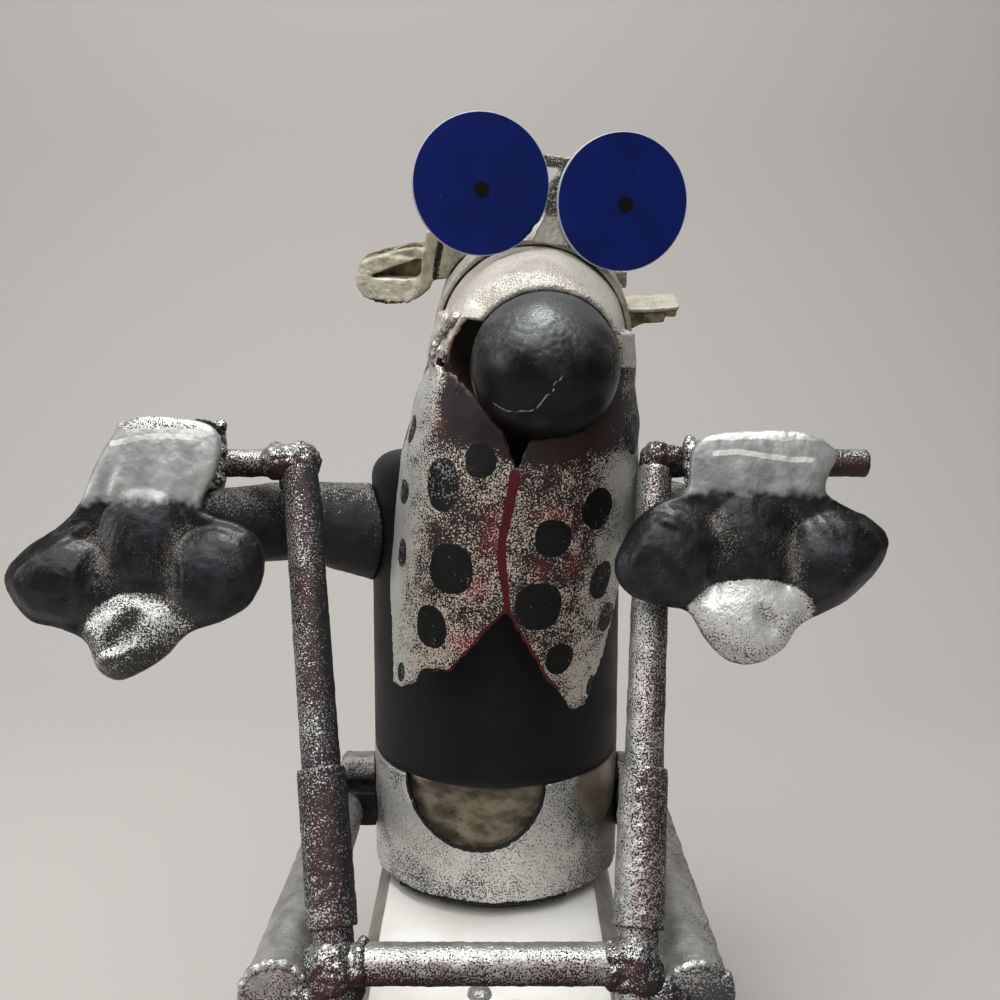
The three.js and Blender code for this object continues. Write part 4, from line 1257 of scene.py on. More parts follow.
pushed(ball, cast_skin)
# Height on the ball with some noise; the finish paints the ball's light and shade by it.
painted(ball, "skin", lambda place: place.z / (NOSE_RADIUS * MM) + 0.3 * cloud(place, 9, 8))
painted(ball, "crack", lambda p: line_distance(p.x / MM, p.z / MM, CRACK_LINE) + (p.y > 0) * 9)
charcoal = Finish("nose_charcoal")
# The ball is painted lighter grey toward the top and near black below: painted light from overhead. The pale
# flecks follow the same gradient.
upper = charcoal.attribute("skin").step(-0.1, 0.75)
flecks = charcoal.speckle(upper * 0.3 + 0.02, 0.5)
dark = charcoal.blend(upper, colour(14, 13, 16), colour(78, 80, 81))
skin = charcoal.blend(flecks * 0.6, dark, colour(120, 122, 124))
crack = charcoal.attribute("crack").step(0.36, 0.16) * charcoal.noise(2.2, seed=2.0).step(0.1, 0.2)
bumps = charcoal.noise(0.9, detail=3) * upper
charcoal.dress(charcoal.blend(crack, skin, colour(150, 142, 132)), 0.36, 0.35, bumps, 0.14)
moved(ball, Matrix.Translation(middle("nose_ball")))
keep("ball_nose", ball, charcoal, "nose_charcoal", "nose_ball")

# %% [markdown]
# ## The sheet face
#
# Hood and jowls are one sheet. The jowls are a flared half pipe, cut below to two torn points; the
# hood is a cone that tucks into the skull's mouth. Both are spun, cut with plates, and wrapped in
# one even skin, which is then dented and torn. Spots, stripe and bare patch are fields stored on
# the skin as distances, so their edges stay sharp however large the faces are.
# %% Face sheet: sizes and outlines
FACE_SHEET = 2.2
SKULL_RADIUS = 38.1
SKULL_FRONT = 20
SKULL_LENGTH = 42
HOOD_MOUTH = 32
HOOD_REACH = 22
HOOD_TUCK = 8
HOOD_LIP = 5
HOOD_TAIL = 35.3
NOSE_BITE = 0.8
JOWL_RADII = [(45, -122), (45, -90), (45, -58), (44.6, -38), (42.3, -18), (38.4, 2), (36.4, 18)]
LEFT_TEAR = [(-38.9, -118.5), (-34.6, -116.6), (-31.1, -113.6), (-29.2, -110.2), (-28, -106.8), (-24.6, -106),
             (-23.6, -107.6), (-22.7, -105.7)]
LEFT_LIP = [(-22.7, -105.7), (-18.1, -105), (-15, -99.6), (-10.7, -93.3), (-6.4, -86.2), (-1.4, -79.5)]
RIGHT_LIP = [(-1.4, -79.5), (0.8, -81), (5.6, -89), (10, -94.8), (14.7, -102), (19.7, -107.3), (24.6, -113.4)]
RIGHT_TEAR = [(24.6, -113.4), (28.2, -115.6), (36, -115.8)]
NOSE_HOLE = [
    (-32, 30), (-33.3, 6.7), (-34.4, 0.5), (-31.9, -1.5), (-25.5, -3.6), (-18, -8.7), (-13.3, -14.2),
    (-8.5, -18.5), (-5.1, -25.7), (-2.5, -30.8), (0.6, -20.5), (9, -17), (16, -12), (21, -6.5),
    (25, -1), (28, 2.4), (34.4, 3.6), (33, 7.4), (29.5, 13), (26, 20), (22, 30),
]
SIDE_EDGES = {
    -1: [(18, 30), (18, -8), (-2, -38), (-3.5, -77), (-17, -96), (-22.5, -118.5), (-22.5, -150)],
    1: [(18, 30), (18, -8), (-6, -36), (-7, -52), (-20.5, -74), (-27, -100), (-31.5, -115), (-31.5, -150)],
}
FAR = 100


def torn(line, depth, step, seed):
    """A line with small teeth, as torn sheet has; its ends stay in place."""
    dice = random.Random(seed)
    teeth = []
    for start, end in zip(line, line[1:]):
        first, last = Vector(start), Vector(end)
        count = max(1, round((last - first).length / step))
        teeth += [first.lerp(last, index / count) for index in range(count)]
    teeth.append(Vector(line[-1]))
    for tooth in teeth[1:-1]:
        tooth += Vector((dice.uniform(-depth, depth), dice.uniform(-depth, depth)))
    return [tuple(tooth) for tooth in teeth]


LOWER_EDGE = (
    [(-60, -119)] + torn(LEFT_TEAR, 0.6, 1.6, 1) + torn(LEFT_LIP, 0.3, 1.6, 2)[1:]
    + torn(RIGHT_LIP, 0.3, 1.6, 3)[1:] + torn(RIGHT_TEAR, 1.1, 1.9, 4)[1:]
    + [(60, -116), (60, -150), (-60, -150)]
)
print("lower edge of the jowls:", len(LOWER_EDGE), "corners")

# %% [markdown]
# ## The form of the jowls and the hood
#
# The jowls' radius changes with the height, which one profile gives. The hood has to hug the ball in
# front but gapes at the left, where the sheet was torn, so its front corners are moved out or in
# until they lie on the ball, by a share that falls to nothing at the tear.
# %% Face sheet: jowls and hood
def jowl_radius(z):
    """Outer radius of the jowls at a height of the head's frame, in millimetres."""
    line = JOWL_RADII
    if z <= line[0][1]:
        return line[0][0]
    for (radius, low), (next_radius, high) in zip(line, line[1:]):
        if z <= high:
            share = (z - low) / (high - low)
            share = share * share * (3 - 2 * share)
            return radius + (next_radius - radius) * share
    return line[-1][0]


def side_cutter(sign):
    """Everything behind one side edge, on one side of the face."""
    outline = SIDE_EDGES[sign] + [(FAR, -150), (FAR, 30)]
    slab = plate(outline, 0, FAR)
    bmesh.ops.transform(slab, matrix=turn(90, "Z"), verts=slab.verts)
    return moved(slab, at(FAR if sign > 0 else 0, 0, 0))


into_skull = at(0, 0, SKULL_RISE) @ turn(SKULL_PITCH, "X")
ball_in_skull = into_skull.inverted() @ NOSE_IN_HEAD / MM
along = turn(-90, "X")


def hood_radius(y):
    """Outer radius of the hood at a place along the skull's axis; it tucks into the skull's mouth."""
    share = (y + HOOD_REACH) / (SKULL_FRONT - FACE_SHEET + HOOD_REACH)
    return HOOD_MOUTH + (HOOD_TAIL - HOOD_MOUTH) * min(share, 1)


def smooth_share(value, low, high):
    share = min(max((value - low) / (high - low), 0), 1)
    return share * share * (3 - 2 * share)


def onto_ball(hood):
    """Bends the hood's front down onto the ball, but for the hole at the left and the gap at the right."""
    for corner in hood.verts:
        x, y, z = corner.co / MM
        degrees = math.degrees(math.atan2(x, z))
        side = smooth_share(degrees, -56, -44) * smooth_share(degrees, 82, 60)
        y_hugged = y if y > -HOOD_REACH else -HOOD_REACH + (y + HOOD_REACH) * side
        section = max(NOSE_RADIUS ** 2 - (y_hugged - ball_in_skull.y) ** 2, 1)
        across = (ball_in_skull.x * x + ball_in_skull.z * z) / math.hypot(x, z)
        reach = across + math.sqrt(max(
            across ** 2 - ball_in_skull.x ** 2 - ball_in_skull.z ** 2 + section, 0))
        near = smooth_share(y, -8, -20)
        shift = (reach + 0.3 - (hood_radius(y) - FACE_SHEET)) * near * side
        scale = 1 + shift / math.hypot(x, z)
        corner.co = Vector((x * scale, y_hugged, z * scale)) * MM
    return hood


# %% Face sheet: cut and joined
def face_sheet():
    heights = lengths(-121.5, 18, 3)
    outside = [(jowl_radius(z), z) for z in heights]
    profile = outside + [(radius - FACE_SHEET, z) for radius, z in reversed(outside)]
    jowls = cut(
        turned(profile, 180), plate(LOWER_EDGE, -FAR, FAR), plate(NOSE_HOLE, -FAR, 0),
        side_cutter(-1), side_cutter(1),
    )
    hood_line = [(hood_radius(y), y) for y in lengths(-HOOD_REACH - HOOD_LIP, SKULL_FRONT + HOOD_TUCK, 2)]
    hood = turned(hood_line + [(radius - FACE_SHEET, z) for radius, z in reversed(hood_line)], 180)
    hood = onto_ball(cut(moved(hood, along), block((-99, -99, -99), (99, 99, 1))))
    moved(hood, into_skull)
    both = fine(joined(jowls, hood), 0.86)
    inner, outer = SKULL_RADIUS - FACE_SHEET - GAP / 2, SKULL_RADIUS + GAP
    front, back = SKULL_FRONT - GAP, SKULL_FRONT + 30
    wall_room = turned([(inner, front), (outer, front), (outer, back), (inner, back)], 180)
    moved(wall_room, into_skull @ along)
    nose_room = bmesh.new()
    bitten = (NOSE_RADIUS - NOSE_BITE) * MM
    place = Matrix.Translation(NOSE_IN_HEAD)
    bmesh.ops.create_icosphere(nose_room, subdivisions=5, radius=bitten, matrix=place)
    return cut(both, wall_room, nose_room)


# %% [markdown]
# ## Dents and torn edges of the face
#
# Long shallow dents run over the whole sheet. Close to the tear beside the ball and along the lips
# the noise is finer and deeper, so those edges look torn, and the rest stays smooth.
# %% Face sheet: dents and torn edges
TORN = [(-29, 17), (-33, 10), (-34.5, 4), (-34, 0), (-30, -3), (-25.5, -3.6)]


def face_dent(place, normal):
    """Long shallow dents all over, a crumpled edge beside the hole and rough lips below."""
    x, y, z = place / MM
    crumpled = max(0.0, 1 - line_distance(x, z, TORN) / 7) if y < 0 else 0
    lower = max(0.0, 1 - line_distance(x, z, LEFT_LIP + RIGHT_LIP[1:]) / 3) if y < 0 else 0
    dents = 0.5 * cloud(place, 26, 4) + 0.16 * cloud(place, 6, 7)
    return dents + crumpled * 1.3 * cloud(place, 2.6, 11) + lower * 0.4 * cloud(place, 1.8, 13)


face = pushed(face_sheet(), face_dent)

# %% [markdown]
# ## Paint of the face
#
# Black spots go round the jowls, a red stripe runs down the middle and along the lips, the sheet by
# the ball is bare and dark, and the red undercoat glows through in patches. Each of these is a field
# in millimetres or shares. Spots are placed by the angle round the head and the height, because
# they bend with the sheet.
# %% Face sheet: spots, stripe and bare patches
STRIPE = [(-3.0, -31.5), (-3.3, -34.6), (-3.5, -40.7), (-4.4, -48.1), (-5, -55.1), (-4.3, -62), (-2.8, -69.3),
          (-1, -76.2), (-0.8, -79.6)]
LIPS = [[(-0.8, -79.5)] + LEFT_LIP[::-1][1:] + [(-27.4, -109)], RIGHT_LIP[:-1]]
# Angle round the head in degrees, height, half width and half height in millimetres, and tilt.
SPOTS = [
    (-20.5, -28.5, 5.6, 5.9, 10), (-38.0, -39.3, 7.2, 9.2, 8), (-28.5, -67.4, 8.6, 8.9, 0),
    (-36.1, -90.1, 6.6, 7.7, 12), (-71.6, -24.2, 3.9, 5.4, 0), (-85.0, -28.6, 2.4, 5.0, 0),
    (-68.0, -46.9, 4.4, 4.6, 0), (-62.7, -68.6, 3.5, 5.5, 0), (-53.3, -111.7, 2.2, 3.6, 0),
    (-34.8, -107.5, 4.0, 2.2, 20), (-84.0, -2.0, 2.6, 3.4, 0), (-78.0, 0.5, 1.2, 4.6, 8),
    (15.7, -52.2, 6.4, 6.6, 0), (37.1, -41.9, 6.8, 7.2, -28), (12.9, -76.5, 8.4, 8.6, 0),
    (25.6, -95.7, 5.3, 5.6, -14), (44.7, -68.0, 5.4, 7.0, -18), (52.4, -82.8, 4.4, 5.6, -24),
    (64.4, -17.0, 8.6, 7.0, -20), (46.5, -107.5, 1.8, 4.0, -10),
]


def spot_field(place):
    """Millimetres inside the nearest spot, below 0 outside; some spots are a little square."""
    x, y, z = place / MM
    angle = math.degrees(math.atan2(x, -y))
    best = -99.0
    for spot_angle, height, half_wide, half_tall, tilt in SPOTS:
        arc = math.radians(angle - spot_angle) * jowl_radius(z)
        if abs(arc) > 20:
            continue
        cosine, sine = math.cos(math.radians(tilt)), math.sin(math.radians(tilt))
        across = (arc * cosine + (z - height) * sine) / half_wide
        up = ((z - height) * cosine - arc * sine) / half_tall
        span = (abs(across) ** 2.3 + abs(up) ** 2.3) ** (1 / 2.3)
        best = max(best, (1 - span) * min(half_wide, half_tall))
    return best + 0.35 * cloud(place, 5, 3)


def stripe_field(place):
    """Millimetres inside the red stripe and the red lips, below 0 outside."""
    x, y, z = place / MM
    if y > -5:
        return -99.0
    wide = 1.75 - 0.5 * smooth_share(z, -50, -78) + 0.4 * cloud(place, 7, 2)
    down = wide - line_distance(x, z, STRIPE)
    lips = 1.25 + 0.4 * cloud(place, 5, 6) - min(line_distance(x, z, line) for line in LIPS)
    return max(down, lips)


def bare_field(place):
    """1 on the plain dark sheet round the ball, fading to 0 where the silver grains begin."""
    x, y, z = place / MM
    if y > -8:
        return 0.0
    beside = smooth_share(math.hypot(x - NOSE_IN_HEAD.x / MM, z - NOSE_IN_HEAD.z / MM), 34, 27)
    left = smooth_share(x, -35, -24) * smooth_share(x, -6, -11) * smooth_share(z, -27, -19)
    right = smooth_share(x, 15, 24) * smooth_share(z, -27, -17)
    return min(max(beside, left, right * 0.8) + 0.3 * cloud(place, 6, 5), 1)


# Across, height, half width and half height of each, in millimetres.
BLUSHES = [(-9, -53, 8, 17), (-13, -72, 8, 9), (-30, -20, 4, 6), (-14, -92, 10, 8), (11, -44, 11, 7),
           (9, -63, 5, 8), (20, -62, 6, 8)]


def blush_field(place):
    """How red the undercoat glows: in soft patches beside the stripe."""
    x, y, z = place / MM
    return max(
        max(0.0, 1 - math.hypot((x - at_x) / wide, (z - at_z) / tall)) for at_x, at_z, wide, tall in BLUSHES
    )


# %% Face sheet: sides of the sheet
def inside_share(place):
    """1 on the inner side of the sheet, 0 on its outer side."""
    x, y, z = place / MM
    if z > 4:
        local = into_skull.inverted() @ place / MM
        if math.atan2(local.x, local.z) > math.radians(-62):
            return 0.0
        return smooth_share(hood_radius(local.y) - FACE_SHEET / 2 - math.hypot(local.x, local.z), -0.3, 0.3)
    return smooth_share(jowl_radius(z) - FACE_SHEET / 2 - math.hypot(x, y), -0.3, 0.3)


def front_share(place):
    """1 on the face's front, 0 on its sides."""
    angle = abs(math.degrees(math.atan2(place.x, -place.y)) + 4)
    share = min(max((angle - 34) / 26, 0), 1)
    return 1 - share


painted(face, "spots", spot_field)
painted(face, "stripe", stripe_field)
painted(face, "bare", lambda place: bare_field(place) if place.z < 6 * MM else 0.0)
painted(face, "blush", blush_field)
painted(face, "front", front_share)
painted(face, "hood", lambda place: (place.z / MM - 6 - 12 * smooth_share(place.x / MM, 18, 26)) / 8)
painted(face, "inside", inside_share)
painted(face, "tip", lambda place: smooth_share(place.z / MM, -82, -108))
painted(face, "flecked", lambda place: smooth_share(math.hypot(place.x / MM + 27, place.z / MM + 38), 9, 5))


# %% Face sheet: finish
def face_finish():
    finish = Finish("face_paint")
    front = finish.attribute("front")
    hood = finish.attribute("hood").step(-0.4, 0.8)
    bare = finish.attribute("bare")
    clouds = finish.noise(13, detail=3)
    blush = (finish.attribute("blush") + (clouds - 0.5) * 0.8).step(0.0, 1.2)
    ground = finish.blend(clouds.step(0.35, 0.65), colour(42, 31, 29), colour(33, 28, 27))
    plain_sheet = finish.blend(finish.right.step(-0.2, 0.2), colour(27, 21, 20), colour(50, 31, 29))
    ground = finish.blend(bare, ground, plain_sheet)
    ground = finish.blend(blush, ground, colour(88, 32, 38))
    ground = finish.blend(1 - front, ground, colour(52, 50, 50))
    ground = finish.blend(hood, ground, colour(150, 145, 134))
    share = 0.4 - bare * 0.62 + (1 - front) * 0.34 + hood * 0.16 + (clouds - 0.5) * 0.6
    share = share + finish.attribute("tip") * 0.16
    grains = finish.speckle(share, 0.58, soft=0.05)
    pale = finish.blend(blush, colour(190, 178, 162), colour(202, 158, 148))
    pale = finish.blend(1 - front, pale, colour(198, 198, 193))
    pale = finish.blend(hood, pale, colour(196, 191, 180))
    base = finish.blend(grains, ground, pale)
    fine_grains = finish.speckle(hood * 0.4, 0.4, seed=5.0)
    base = finish.blend(fine_grains * hood * 0.6, base, colour(214, 210, 200))
    spots = finish.attribute("spots").step(-0.12, 0.14)
    flecks = finish.attribute("flecked") * 0.3
    patchy = (finish.noise(5, seed=8.0) - 0.5) * 0.9
    scuffs = finish.speckle((1 - front) * 0.3 + flecks + patchy, 0.8, seed=3.0)
    spot = finish.blend(scuffs * 0.8, colour(5, 5, 6), colour(130, 130, 128))
    base = finish.blend(spots, base, spot)
    stripe = finish.attribute("stripe").step(-0.15, 0.15)
    base = finish.blend(stripe, base, finish.blend(clouds, colour(58, 5, 16), colour(86, 10, 26)))
    # The sheet's inner side is red-brown undercoat, painted much lighter than it is: painted light in the dim
    # hollow behind the sheet.
    base = finish.blend(finish.attribute("inside"), base, colour(176, 118, 108))
    plain = grains * (1 - spots) * (1 - stripe)
    metal = plain * ((1 - front) * 0.3 + 0.2) * (1 - hood) + hood * 0.3
    relief = plain * 0.6 + finish.noise(0.8, detail=3) * (hood * 0.8 + 0.6)
    return finish.dress(base, 0.5 - plain * 0.1 - hood * 0.02, metal, relief, 0.3, shine=0.25)


print(f"face sheet: {len(face.verts)} corners")
face_paint = face_finish()
keep("muzzle_sheet", moved(face, HEAD), face_paint, "mask_silver", "face_mask")

# %% [markdown]
# ## Weld of the face
#
# The sheet's crumpled edge beside the ball was tacked with small bright drops.
# %% Weld of the face
CRUMPLE = [(-28.5, 17.5), (-31, 13.5), (-33.4, 9.5), (-34.6, 5), (-34.9, 1)]
silver_weld = sprayed("silver_weld", 0.7, colour(92, 86, 80), colour(90, 84, 78), grain=0.6)
edge_places = [
    HEAD @ (Vector((x, -math.sqrt(max((jowl_radius(z) - 0.6) ** 2 - x * x, 0)), z)) * MM) for x, z in CRUMPLE
]
lumps = roughened(fine(drops(edge_places, 1.9, 61, gap=0.55), 0.45), 0.7, 1.7, 62)
keep("edge_weld", lumps, silver_weld, "mask_silver")

# %% [markdown]
# ## Skull and neck
#
# The skull is a short pipe closed at the back. A stub of pipe under it joins it to the drum.
# %% Skull pipe and neck
skull_back = SKULL_FRONT + SKULL_LENGTH
skull_inner = SKULL_RADIUS - FACE_SHEET
skull_profile = [
    (skull_inner, SKULL_FRONT), (skull_inner + 0.5, SKULL_FRONT - 0.1), (SKULL_RADIUS, SKULL_FRONT + 0.4),
]
skull_profile += [(SKULL_RADIUS, height) for height in lengths(SKULL_FRONT + 1.5, skull_back - 1, 1.5)]
skull_profile += [(SKULL_RADIUS - 1, skull_back), (0, skull_back)]
skull_profile += [(0, skull_back - FACE_SHEET), (skull_inner, skull_back - FACE_SHEET)]


skull = turned(skull_profile, 140)
skull = roughened(moved(skull, SKULL @ turn(-90, "X")), 0.28, 7, 17)
keep("skull_pipe", skull, bone_paint, "skull_bone", "skull")

NECK_RADIUS = 20
neck_foot = BODY @ (Vector((0, 0, BODY_HEIGHT - SHOULDER)) * MM)
neck_head = SKULL @ (Vector((0, SKULL_FRONT + SKULL_LENGTH / 2, 0)) * MM)


def skull_room(place):
    """A cutter a little wider than the skull, for what is welded to it."""
    front, back = SKULL_FRONT - GAP, skull_back + GAP
    wide = SKULL_RADIUS + GAP
    return moved(turned([(0, front), (wide, front), (wide, back), (0, back)], 120), place @ turn(-90, "X"))


neck = rod(neck_foot / MM, neck_head / MM, NECK_RADIUS, sides=72, step=2.4)
neck = cut(neck, skull_room(SKULL), drum_room(BODY_HEIGHT + GAP))
neck = roughened(fine(neck, 0.9), 0.3, 5, 19)
keep("neck_pipe", neck, arm_paint, "arm_dark", "neck")

# %% [markdown]
# ## Eyes and their bracket
#
# Two thin discs, navy blue with a small black dot each, stand on a torch-cut plate. The discs'
# rims are bare and pale, and a burr is left on one of them.
# %% Eye discs
EYE_RADIUS = 24.8
EYE_THICK = 2.5
EYE_SPACING = 53.1
EYE_HEIGHT = 63.7
PUPILS = {"left": (0.3, -1.9), "right": (1.2, -0.9)}
BURRS = [(17.2, -14.6), (19.4, -11.5), (14.9, -16.4)]


def eye_disc(side):
    rim = 0.35
    half = EYE_THICK / 2
    profile = [(0, -half), (EYE_RADIUS * 0.5, -half), (EYE_RADIUS - rim, -half), (EYE_RADIUS, -half + rim),
               (EYE_RADIUS, half - rim), (EYE_RADIUS - rim, half), (EYE_RADIUS * 0.5, half), (0, half)]
    bm = moved(turned(profile, 160), turn(90, "X"))
    if side == "left":
        for corner in bm.verts:
            x, z = corner.co.x / MM, corner.co.z / MM
            for number, (burr_x, burr_z) in enumerate(BURRS):
                near = math.hypot(x - burr_x, z - burr_z)
                if math.hypot(x, z) > EYE_RADIUS * 0.9 and near < 3.2:
                    corner.co *= 1 - 0.05 * (1 - near / 3.2) * (1 + (number % 2))
    return bm


def eye_finish():
    finish = Finish("eye_blue")
    blue = finish.blend(finish.noise(14, detail=2).step(0.3, 0.7), colour(2, 20, 84), colour(4, 26, 98))
    specks = finish.noise(0.7, detail=1, seed=4.0).step(0.77, 0.8) * finish.noise(9, seed=2.0).step(0.48, 0.6)
    base = finish.blend(specks, blue, colour(60, 76, 132))
    pupil = finish.attribute("pupil").step(0.35, -0.35)
    base = finish.blend(pupil, base, colour(7, 6, 8))
    rim = finish.attribute("rim").step(0.0, 0.3)
    base = finish.blend(rim, base, colour(176, 176, 184))
    return finish.dress(base, 0.5, 0.0, finish.noise(1.4, detail=3), 0.05, shine=0.15)


eye_blue = eye_finish()
for side in ("left", "right"):
    disc = eye_disc(side)
    bmesh.ops.subdivide_edges(
        disc, edges=[e for e in disc.edges if e.calc_length() > 5 * MM], cuts=8, use_grid_fill=True,
    )
    pupil_x, pupil_z = PUPILS[side]
    painted(disc, "pupil", lambda p: math.hypot(p.x / MM - pupil_x, p.z / MM - pupil_z) - 2.9)
    painted(disc, "rim", lambda p: math.hypot(p.x, p.z) / MM - EYE_RADIUS + 0.42)
    place = EYES @ at(SIGN[side] * EYE_SPACING / 2, 0, EYE_HEIGHT)
    keep(f"disc_{side}", moved(disc, place), eye_blue, "eye_blue", f"eye_{side}", crease=40)

# %% [markdown]
# ## Bracket of the eyes
#
# The bracket was cut from plate with a torch: it is a waisted post with a bar across its top. The
# outline is extruded, cut to the round of the skull, remeshed and smoothed, and roughened last,
# because torch cuts are rounded and rippled.
# %% Bracket
BRACKET = [
    (-4.8, 46), (9.2, 46), (7, 51), (3.4, 55), (2.6, 63), (4.5, 69), (9, 73), (27, 73), (27, 77),
    (-16, 77), (-16, 73), (3, 73), (-0.6, 68), (-1.6, 61), (-1.2, 55), (-3.6, 50),
]
BRACKET_THICK = 3.2
front = EYE_THICK / 2 + GAP
bracket = cut(plate(BRACKET, front, front + BRACKET_THICK), skull_room(EYES.inverted() @ SKULL))
bracket = roughened(softened(fine(bracket, 0.45), 2), 0.3, 1.8, 23)


def bracket_finish():
    finish = Finish("bracket_paint")
    fronts = finish.back.step(-0.5, -0.95)
    low = finish.attribute("low")
    grains = finish.speckle(finish.up * 0.4 + low * 0.6 + 0.28, 0.5)
    dark = finish.blend(grains, colour(76, 74, 68), colour(196, 193, 182))
    pale = finish.blend(finish.noise(3, detail=3), colour(196, 193, 184), colour(168, 164, 152))
    base = finish.blend(fronts * (1 - low), pale, dark)
    return finish.dress(base, 0.5, 0.25, finish.noise(1.2, detail=4), 0.3)


painted(bracket, "low", lambda place: min(max((57 - place.z / MM) / 4, 0), 1))
keep("eye_stand", moved(bracket, EYES), bracket_finish(), "bracket_pale", "eye_bracket")

# %% [markdown]
# ## Ears
#
# The left ear is a scrap folded like a leaf: a strip runs down the skull and curls out into a blade,
# and a second leaf lies over it with a dark pocket between. The right ear is a bit of angle iron.
# %% Left ear
EAR_FRONT = 38
EAR_BACK = 56
POCKET_DEEP = 11
LEAF = [
    (-71.1, 7.1), (-69, 4.9), (-66.1, 3.2), (-62.8, 2.4), (-59.3, 2.3), (-55, 2.7), (-50.6, 3.6), (-47.3, 5),
    (-44.9, 7.1), (-42.4, 10), (-41, 13.6), (-33, 15.5), (-29, 25), (-31, 31), (-41, 32.7), (-43.6, 32.8),
    (-45.4, 32.3), (-45, 28.5), (-44.9, 25), (-47.6, 24.6), (-50.7, 24), (-56, 22.4), (-61.5, 20.5),
    (-66, 18.8), (-69.9, 16.8), (-71.6, 14), (-72.2, 11),
]
POCKET = [(-68.5, 11.2), (-63, 11.5), (-58.2, 11.8), (-52, 12.2), (-47.4, 12.9), (-46, 15.5), (-45.6, 22),
          (-50, 19.1), (-57.3, 16), (-63, 13.4)]
pocket = plate(POCKET, EAR_FRONT - 1, EAR_FRONT + POCKET_DEEP)
leaf = cut(plate(LEAF, EAR_FRONT, EAR_BACK), pocket, skull_room(Matrix()))
leaf = softened(fine(leaf, 0.6), 2)


def leaf_slope(place):
    """How far the front of the leaf lies back, in millimetres: blade and cover slope apart."""
    x, y, z = place / MM
    if x > -45.5 or y > EAR_FRONT + 9:
        return 0
    blade = max(0.0, (z - 3) * 0.35)
    cover = max(0.0, (z - 13) * 0.9)
    return min(max(blade, cover), 7) * smooth_share(x, -45.5, -50)


slopes = [leaf_slope(corner.co) for corner in leaf.verts]
for corner, slope in zip(leaf.verts, slopes):
    corner.co.y += slope * MM


def leaf_dent(place, normal):
    x, y, z = place / MM
    serrated = smooth_share(z, 5.5, 3) if x < -45 else 0
    return 0.3 * cloud(place, 6, 3) + serrated * 0.8 * cloud(place, 1.6, 9)


pushed(leaf, leaf_dent)
# How deep a place lies in the pocket between the leaves, for the finish to paint shade there.
painted(leaf, "pocket", lambda place: (place.y / MM - EAR_FRONT - 7) / 6)
# A line along the gap between the leaf and the skull, where a dark line is painted as its shadow.
ROOT_GAP_SHADOW = [(-38.8, 31), (-40, 20), (-40, 15)]
painted(leaf, "torn", lambda place: max(
    smooth_share(place.z / MM, 4.6, 2.8) if place.x < -45 * MM else 0,
    2.2 - 1.4 * line_distance(place.x / MM, place.z / MM, ROOT_GAP_SHADOW),
))


def ear_finish():
    finish = Finish("ear_paint")
    stain = finish.noise(6, detail=4, roughness=0.65).step(0.42, 0.66)
    pale = finish.blend(stain * 0.7, colour(198, 191, 170), colour(128, 121, 98))
    grains = finish.speckle(finish.up * 0.3 + 0.3, 0.6)
    pale = finish.blend(grains * 0.6, pale, colour(205, 200, 186))
    # Front-facing surfaces are darkened toward olive grey: painted shade.
    front = (0 - finish.back).step(0.3, 0.95)
    pale = finish.blend(front * 0.2, pale, colour(104, 99, 84))
    # Deep in the pocket and under the angle iron's top the colour turns dark olive: painted shade.
    pocket = finish.attribute("pocket").step(-1.0, 1.0)
    deep = finish.blend(finish.noise(5, detail=3).step(0.4, 0.6), colour(86, 80, 58), colour(150, 140, 104))
    base = finish.blend(pocket, pale, deep)
    # Dark flecks along the torn lower edge, and a solid dark line along the root gap: that line is a painted
    # shadow.
    ragged = finish.attribute("torn").step(0.1, 0.7) * finish.noise(1.3, detail=2).step(0.3, 0.5)
    ragged = ragged + finish.attribute("torn").step(1.1, 1.4) * (1 - ragged)
    base = finish.blend(ragged, base, colour(30, 28, 25))
    # Surfaces facing down are darkened: painted shade.
    base = finish.blend(finish.up.step(-0.35, -0.8), base, colour(58, 54, 50))
    return finish.dress(base, 0.46, 0.3, finish.noise(1.6, detail=4), 0.4)


ear_paint = ear_finish()
keep("leaf_ear", moved(leaf, SKULL), ear_paint, "skull_bone", "ear_left")

# %% [markdown]
# ## Right ear
#
# The right ear is a bit of angle iron: a level top that rises a little outward, a flange under it
# in front, a closed end and a tab against the skull. The four plates overlap and a remesh makes
# them one, which keeps their inner corners full as weld does.
# %% Right ear
EAR_TIP = 57
EAR_BEND = 52.5
EAR_UNDER = 6.5
EAR_SLOPE = 0.15
EAR_SHEET = 2.2
ear_root = SKULL_RADIUS / 2
ear_rise = (EAR_TIP - ear_root) * EAR_SLOPE
ear_level = EAR_UNDER + EAR_SHEET


def angle_iron():
    top = plate([(ear_root, EAR_UNDER), (EAR_TIP, EAR_UNDER + ear_rise), (EAR_TIP, ear_level + ear_rise),
                 (ear_root, ear_level)], EAR_FRONT, EAR_BACK)
    flange = plate([(ear_root, -3), (38, 1), (44.7, 5), (EAR_BEND, 6.3), (EAR_BEND, EAR_UNDER + ear_rise),
                    (ear_root, EAR_UNDER + 1)], EAR_FRONT + 2, EAR_FRONT + 2 + EAR_SHEET)
    end = plate([(EAR_BEND, 7.9), (EAR_TIP, 8.4), (EAR_TIP, EAR_UNDER + ear_rise + 1),
                 (EAR_BEND, EAR_UNDER + ear_rise)], EAR_FRONT + 4, EAR_BACK)
    tab = plate([(24, 17), (35.5, 18), (35, 24.6), (27, 24)], EAR_FRONT + 4, EAR_FRONT + 7)
    return softened(cut(fine(joined(top, flange, end, tab), 0.55), skull_room(Matrix())), 1)


angle = angle_iron()
for corner in angle.verts:
    x, y, z = corner.co / MM
    if z > EAR_UNDER + (x - ear_root) * EAR_SLOPE - 0.5:
        bow = max(0.0, 1 - ((x - 46) / 11) ** 2)
        corner.co.z -= bow * 0.9 * max(0.0, 1 - (y - EAR_FRONT) / 9) * MM
pushed(angle, lambda place, normal: 0.28 * cloud(place, 4, 21))
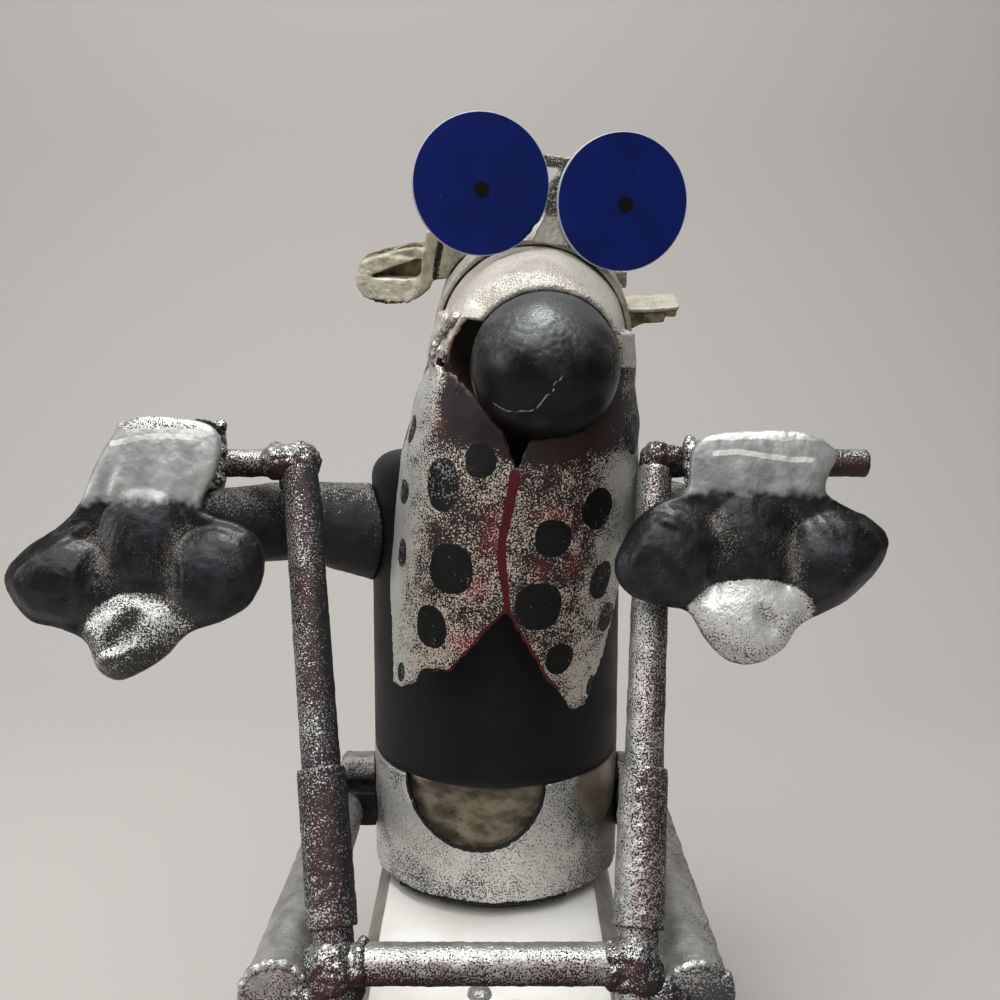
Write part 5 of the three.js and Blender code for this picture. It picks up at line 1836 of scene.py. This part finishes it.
# Below the top plate of the angle iron, where the finish paints the pocket's shade.
painted(angle, "pocket", lambda place: EAR_UNDER + (place.x / MM - ear_root) * EAR_SLOPE - 0.2 - place.z / MM)
painted(angle, "torn", lambda place: 0.0)
keep("angle_ear", moved(angle, SKULL), ear_paint, "skull_bone", "ear_right")

# %% [markdown]
# ## Floor and light
#
# The floor sweeps up into a plain backdrop of pale grey paper. A large soft light overhead does most
# of the work, and a small lamp beside it draws the highlights on the ball and the cuffs. A window at
# the left brightens the left flanks, a weak fill in front opens the shadows, and the backdrop has a
# light of its own, because silver paint needs something pale to mirror.
# %% Floor and backdrop
SWEEP_BACK = 0.95
SWEEP_RADIUS = 0.5
SWEEP_HIGH = 2.4
sweep = bmesh.new()
section = [(-2.2, 0.0), (SWEEP_BACK - SWEEP_RADIUS, 0.0)]
section += [
    (SWEEP_BACK - SWEEP_RADIUS + SWEEP_RADIUS * math.sin(angle), SWEEP_RADIUS * (1 - math.cos(angle)))
    for angle in (math.radians(degrees) for degrees in range(6, 91, 6))
] + [(SWEEP_BACK, SWEEP_HIGH)]
line = [sweep.verts.new((-2.5, y, z)) for y, z in section]
edges = [sweep.edges.new(pair) for pair in zip(line, line[1:])]
grown = bmesh.ops.extrude_edge_only(sweep, edges=edges)["geom"]
bmesh.ops.translate(
    sweep, verts=[item for item in grown if isinstance(item, bmesh.types.BMVert)], vec=(5, 0, 0),
)
bmesh.ops.recalc_face_normals(sweep, faces=sweep.faces)
sweep_mesh = bpy.data.meshes.new("floor")
sweep.to_mesh(sweep_mesh)
sweep.free()
sweep_mesh.shade_smooth()
floor = bpy.data.objects.new("floor", sweep_mesh)
bpy.context.scene.collection.objects.link(floor)
paper = Finish("paper")
paper.dress(colour(188, 184, 179), 0.85, 0.0)
sweep_mesh.materials.append(paper.material)


# %% Lights
def softbox(name, place, target, size, power):
    """A square soft light of that size in metres and power in watts."""
    lamp = bpy.data.lights.new(name, "AREA")
    lamp.size = size
    lamp.energy = power
    made = bpy.data.objects.new(name, lamp)
    made.location = place
    made.rotation_euler = (Vector(target) - Vector(place)).to_track_quat("-Z", "Y").to_euler()
    bpy.context.scene.collection.objects.link(made)


softbox("ceiling", (-0.25, -0.5, 1.4), (0, 0.03, 0.2), 1.5, 20)
softbox("lamp", (-0.05, 0.0, 1.2), (0, 0.03, 0.2), 0.26, 5)
softbox("window", (-1.2, -0.35, 0.55), (0, 0, 0.24), 0.6, 3.5)
softbox("front_fill", (0.35, -1.4, 0.75), (0, 0, 0.2), 0.8, 1.5)
softbox("backdrop_light", (0.0, 0.25, 1.9), (0, 0.9, 0.5), 1.2, 3)
world = bpy.data.worlds.new("studio")
world.use_nodes = True
world.node_tree.nodes["Background"].inputs["Color"].default_value = (0.86, 0.87, 0.9, 1)
world.node_tree.nodes["Background"].inputs["Strength"].default_value = 0.1
bpy.context.scene.world = world
bpy.context.scene.view_settings.view_transform = "Standard"
